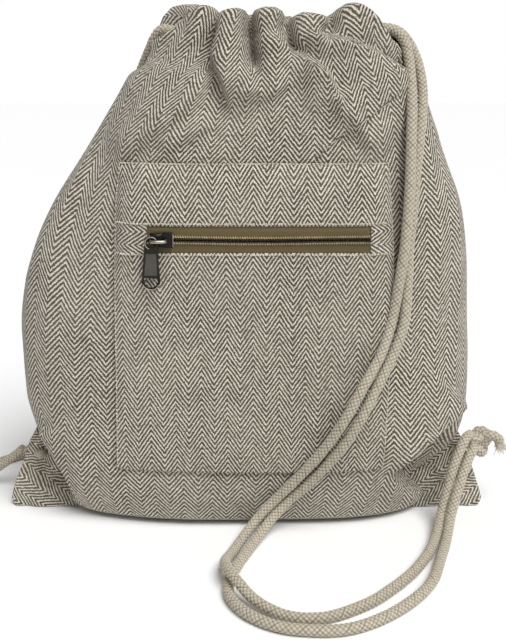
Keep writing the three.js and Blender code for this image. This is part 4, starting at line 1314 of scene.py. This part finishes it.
def puller():
    box_low, box_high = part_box("zip_puller")
    eye_x = -62.6
    eye_z = ZIP_MIDDLE - 1
    middle_y = ((box_low[1] + box_high[1]) / 2 - SHIFT_Y) / MM
    tilt = math.radians(2.0)

    def plate(name, loops, thickness, bevel, material, forward=0.0):
        def place(x, y, z):
            # The tab leans a little, and its foot rests nearer the cloth.
            rx = x * math.cos(tilt) + z * math.sin(tilt)
            rz = -x * math.sin(tilt) + z * math.cos(tilt)
            back = np.clip(-z / 32, 0, 1) * 0.9
            return np.stack([eye_x + rx, middle_y + (y - forward) + back, eye_z + rz], axis=-1)

        return flat_part(name, loops, thickness, bevel, material, "zip_puller", place)

    def band(cz, outer, inner, start, end, count):
        """The outline of a curved strip between two radii."""
        return np.concatenate([
            arc(0, cz, outer, start, end, count), arc(0, cz, inner, end, start, count)])

    foot = 6.3
    foot_z = 4.7 - 37 + foot
    body = np.concatenate([
        arc(0, 0, 4.7, 0, 180, 20), [[-4.6, -2.5], [-4.75, -6.0], [-5.2, -14.0], [-foot, foot_z]],
        arc(0, foot_z, foot, 180, 360, 22)[1:-1],
        [[foot, foot_z], [5.2, -14.0], [4.75, -6.0], [4.6, -2.5]],
    ])
    eye = arc(0, 0, 3.15, 360, 0, 25)[:-1]
    opening = np.array([[3.3, -7.2], [4.5, -22.3], [-4.5, -22.3], [-3.3, -7.2]])
    panel = np.array([[-3.5, -7.0], [-4.7, -22.5], [4.7, -22.5], [3.5, -7.0]])
    top = foot_z + 1.9
    window = np.concatenate([[[4.55, top]], arc(0, foot_z, 4.55, 0, -180, 18), [[-4.55, top]]])
    loops = [body, eye, opening, window]
    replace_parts(plate("zip_puller_frame", loops, 1.8, 0.38, GUNMETAL), "zip_puller")
    # Bright strips of painted highlight round the foot and the eye.
    rim = band(foot_z, foot - 0.25, foot - 0.75, 205, 335, 20)
    plate("zip_puller_rim", [rim], 0.5, 0.12, GUNMETAL_PAINTED_HIGHLIGHT, 0.8)
    ring = band(0, 4.35, 3.75, 20, 250, 24)
    plate("zip_puller_eye_edge", [ring], 0.5, 0.12, GUNMETAL_PAINTED_HIGHLIGHT, 0.8)
    plate("zip_puller_panel", [panel], 0.9, 0.2, GUNMETAL_PANEL, 0.05)


puller()

# ---- Lower corners ----

# Outer edge of a corner: height and X.
CORNER_EDGE = [
    [0, 178.5], [3, 181.5], [7, 182.6], [13, 181.2], [20, 178.6], [28, 176.0], [35, 173.2],
    [42, 170.4], [50, 167.4], [57, 164.2], [64, 160.5], [72, 156.0], [79, 150.0],
]
CORNER_HEIGHT = 78
# Creases from the eyelet down to the foot, and along the body: line, depth, width.
CORNER_CREASES = [
    ([[150, 60], [157, 42], [158, 24], [152, 8]], 4.2, 3.6),
    ([[163, 44], [169, 30], [172, 16]], 2.6, 3.0),
    ([[134, 34], [146, 24], [156, 14]], 3.0, 3.4),
]
CORNER_TURN = math.radians(58)  # how far the weave is turned in a corner


def corner(name, side, node, seed):
    """The empty corner of the bag: cloth folded flat, crumpled where the cord pulls it in."""
    around, rows = 90, 60
    v = np.linspace(0, 1, rows)
    z = FLOOR_GAP + CORNER_HEIGHT * v
    edge = np.interp(z, *np.array(CORNER_EDGE).T)
    inner = np.full(rows, 118.0) + 16 * v
    t = np.linspace(0, 1, around)
    # Round the section: front face outwards, the edge, and the back face inwards.
    reach = np.where(t < 0.46, t / 0.46, np.where(t > 0.54, (1 - t) / 0.46, 1.0))
    face = np.interp(t, [0, 0.44, 0.5, 0.56, 1], [-1, -1, 0, 1, 1])
    x = inner[:, None] + (edge - inner)[:, None] * np.sin(reach * math.pi / 2)[None] ** 0.9
    zz = np.repeat(z[:, None], around, axis=1)
    middle = -12.0 + 9.0 * v[:, None] + 3.0 * (1 - reach)[None]
    half = (4.6 - 1.6 * v)[:, None] * (1 + 1.3 * (1 - reach)[None])
    near_edge = np.clip((reach[None] - 0.86) / 0.14, 0, 1)
    half = half * np.sqrt(np.clip(1 - near_edge**2 * 0.75, 0, 1))
    crumple = (
        2.6 * np.sin((zz * 0.9 - x * 0.55) / 7.5 + seed) * np.exp(-((zz - 30) / 26) ** 2)
        + 1.5 * noise(x / 9 + seed, zz / 12, 51 + seed)
        + 0.7 * noise(x / 4 + seed, zz / 5, 52 + seed)
    )
    share_of_face = np.where(face < 0, 1.0, 0.8)[None] * (0.35 + 0.65 * reach[None])
    y = middle + face[None] * half + crumple * share_of_face
    for line, depth, width in CORNER_CREASES:
        dist, _, share = polyline_distance(x, zz, smooth_line(line))
        y -= face[None] * depth * np.exp(-((dist / width) ** 2)) * smoothstep(0, 0.3, 1 - share)
    # Drawn together at the eyelet.
    pull = np.exp(-(((x - 163.3) / 9) ** 2 + ((zz - 43) / 9) ** 2))
    y = y * (1 - 0.55 * pull) + (-8.5) * 0.55 * pull
    zz = zz + 0.8 * noise(x / 10, zz / 10, 53 + seed) * smoothstep(0, 12, zz)
    points = np.stack([side * x, y, zz], axis=-1)
    turn_x, turn_z = math.cos(CORNER_TURN), math.sin(CORNER_TURN)
    uv = np.stack([x * turn_x - zz * turn_z + (face[None] > 0) * 7, x * turn_z + zz * turn_x], axis=-1)
    piece = grid_object(name, points, uv, CLOTH, flip=side < 0)
    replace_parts(piece, node)


corner("right_corner_cloth", 1, "right_corner", 0)
corner("left_corner_cloth", -1, "left_corner", 3)


# ---- Knots ----

def knot_path(centre, scale, turn, tilt):
    """An overhand knot, drawn tight: a trefoil curve."""
    t = np.linspace(0, 2 * math.pi, 150)
    x = np.sin(t) + 2 * np.sin(2 * t)
    y = np.cos(t) - 2 * np.cos(2 * t)
    z = -np.sin(3 * t)
    p = np.stack([x, z * 0.95, y], axis=1) * scale
    c, s = math.cos(turn), math.sin(turn)
    p = np.stack([p[:, 0] * c - p[:, 2] * s, p[:, 1], p[:, 0] * s + p[:, 2] * c], axis=1)
    c, s = math.cos(tilt), math.sin(tilt)
    p = np.stack([p[:, 0] * c - p[:, 1] * s, p[:, 0] * s + p[:, 1] * c, p[:, 2]], axis=1)
    return p + np.asarray(centre, float)


def join(pieces):
    """Makes one piece of several, which keeps the first one's name."""
    bpy.context.view_layer.update()
    bpy.ops.object.select_all(action="DESELECT")
    for piece in pieces:
        piece.select_set(True)
    bpy.context.view_layer.objects.active = pieces[0]
    bpy.ops.object.join()
    return pieces[0]


def knot_piece(name, lengths, node):
    """One knot from several plaited lengths."""
    piece = join(lengths)
    piece.name = name
    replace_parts(piece, node)
    return piece


def frayed_tail(name, base, direction, count, seed):
    """Loose yarns at the cut end of a cord."""
    rng = np.random.default_rng(seed)
    direction = np.asarray(direction, float)
    direction /= np.linalg.norm(direction)
    first = np.cross(direction, [0, 0, 1.0])
    first /= np.linalg.norm(first)
    second = np.cross(direction, first)
    verts, faces, uvs = [], [], []
    start = 0
    for _ in range(count):
        angle, radius = rng.uniform(0, 2 * math.pi), 3.1 * math.sqrt(rng.uniform(0, 1))
        out = math.cos(angle) * first + math.sin(angle) * second
        length = rng.uniform(3.5, 9.0)
        spread = rng.uniform(0.1, 0.75)
        curl = rng.uniform(-1, 1, 3) * 2.0
        t = np.linspace(0, 1, 9)[:, None]
        path = np.asarray(base) + out * radius + direction * length * t
        path = path + out * spread * length * t**2 * 0.6 + curl * t**2 * 0.9
        thick = rng.uniform(0.32, 0.62) * (1 - 0.55 * t)
        ring = ring_points(path, thick, 6)
        quads, rc = grid_faces(9, 6, wrap=True, start=start)
        verts.append(ring.reshape(-1, 3))
        faces.append(quads)
        uvs.append(np.stack([rc[..., 1] * 0.5, rc[..., 0] * 1.0], axis=-1) / 100)
        start += ring.shape[0] * ring.shape[1]
    piece = new_object(
        name, np.concatenate(verts), [np.concatenate(faces)], CORD_COTTON, np.concatenate(uvs))
    return piece


def fuzz_on(piece, path, diameter, count, seed):
    """Adds short loose fibres to a piece, all round a cord's path."""
    rng = np.random.default_rng(seed)
    _, normal, side = frames_along(path)
    at = rng.integers(0, len(path), count)
    angle = rng.uniform(0, 2 * math.pi, count)
    out = np.cos(angle)[:, None] * normal[at] + np.sin(angle)[:, None] * side[at]
    root = path[at] + out * (diameter / 2 - 0.6)
    way = out + 1.3 * rng.uniform(-1, 1, (count, 3))
    way /= np.linalg.norm(way, axis=1, keepdims=True)
    length = rng.uniform(0.8, 2.6, count)[:, None]
    bend = rng.uniform(-0.8, 0.8, (count, 3))
    wide = np.cross(way, rng.uniform(-1, 1, (count, 3)))
    wide *= rng.uniform(0.07, 0.14, count)[:, None] / np.linalg.norm(wide, axis=1, keepdims=True)
    deep = np.cross(way, wide)
    rings = []
    for t in (0.0, 0.5, 1.0):
        centre = root + way * length * t + bend * t**2
        thin = 1 - 0.5 * t
        third = centre - (wide + deep) * 0.7 * thin
        rings.append(np.stack([centre + wide * thin, centre + deep * thin, third], axis=1))
    verts = np.stack(rings, axis=1).reshape(-1, 3)
    faces, rc = grid_faces(3, 3, wrap=True)
    faces = (faces[None] + (np.arange(count) * 9)[:, None, None]).reshape(-1, 4)
    uvs = np.tile(np.stack([rc[..., 1] * 0.4, rc[..., 0] * 0.5], axis=-1), (count, 1, 1)) / 100
    join([piece, new_object(piece.name + "_hair", verts, [faces], CORD_COTTON, uvs)])


def right_knot():
    wrap = knot_path((178.0, -13.5, 52.0), 2.9, turn=0.5, tilt=0.35)
    loop, _ = spline([
        [171, -19.5, 59], [166, -17.0, 51], [162.5, -13, 44], [163.5, -5, 41.5], [168, 0, 44],
        [174.5, -3, 50], [178, -8, 53],
    ], 0.8)
    tail, _ = spline([[178, -12, 54], [185, -15, 58], [191, -15.5, 56.5], [194, -15, 52.5]], 0.8)
    knot = knot_piece("right_knot_cord", [
        cord_object("right_knot_wrap", wrap[:-1], diameter=8.2, seed=21),
        cord_object("right_knot_loop", loop, diameter=7.4, seed=23),
        cord_object("right_knot_tail", tail, diameter=8.0, seed=24),
    ], "right_knot")
    fray = frayed_tail("right_knot_fray", (193, -15, 52.5), (0.45, 0.0, -1), 60, 5)
    fuzz_on(fray, wrap, 8.2, 420, 6)
    fuzz_on(fray, tail, 8.0, 150, 7)
    return knot, fray


def left_knot():
    wrap = knot_path((-167.5, 10.5, 36), 2.45, turn=1.1, tilt=-0.3)
    neck, _ = spline([[-168, 7, 37], [-165, 0, 39], [-162, -7, 40], [-157, -12, 41]], 0.8)
    return knot_piece("left_knot_cord", [
        cord_object("left_knot_wrap", wrap[:-1], diameter=7.2, seed=31),
        cord_object("left_knot_neck", neck, diameter=7.2, seed=32),
    ], "left_knot")


RIGHT_KNOT, RIGHT_FRAY = right_knot()
LEFT_KNOT = left_knot()

for name, knots in (
    ("right_strand_front", [RIGHT_KNOT, RIGHT_FRAY]),
    ("right_strand_rear", []),
    ("left_strand_front", [LEFT_KNOT]),
    ("left_strand_rear", []),
):
    piece, path, length = STRANDS[name]
    line = metres(path)

# ---- Light and floor ----

PAPER_LIGHT = 0.28  # strength of the white surroundings, as the bag and the floor see them
SUN_FROM = (0.60, -0.92, 1.66)
SUN_POWER = 2.85
SUN_ANGLE = 36  # degrees across, for soft shadows


def studio():
    world = bpy.data.worlds.new("studio")
    bpy.context.scene.world = world
    world.use_nodes = True
    tree = world.node_tree
    background = tree.nodes["Background"]
    background.inputs[0].default_value = (1, 1, 1, 1)
    seen = tree.nodes.new("ShaderNodeLightPath")
    strength = tree.nodes.new("ShaderNodeMapRange")
    strength.inputs["To Min"].default_value = PAPER_LIGHT
    strength.inputs["To Max"].default_value = 1.0
    tree.links.new(seen.outputs["Is Camera Ray"], strength.inputs["Value"])
    tree.links.new(strength.outputs[0], background.inputs[1])

    floor = bpy.data.meshes.new("floor")
    floor.from_pydata([(-6, -4, 0), (6, -4, 0), (6, 8, 0), (-6, 8, 0)], [], [(0, 1, 2, 3)])
    paper = Nodes("paper")
    paper.shader.inputs["Base Color"].default_value = (0.99, 0.99, 0.99, 1)
    paper.shader.inputs["Roughness"].default_value = 0.95
    floor.materials.append(paper.material)
    ground = bpy.data.objects.new("floor", floor)
    bpy.context.scene.collection.objects.link(ground)

    data = bpy.data.lights.new("key", "SUN")
    data.energy = SUN_POWER
    data.angle = math.radians(SUN_ANGLE)
    light = bpy.data.objects.new("key", data)
    light.rotation_euler = (-Vector(SUN_FROM)).to_track_quat("-Z", "Y").to_euler()
    bpy.context.scene.collection.objects.link(light)
    bpy.context.scene.view_settings.view_transform = "Standard"


studio()
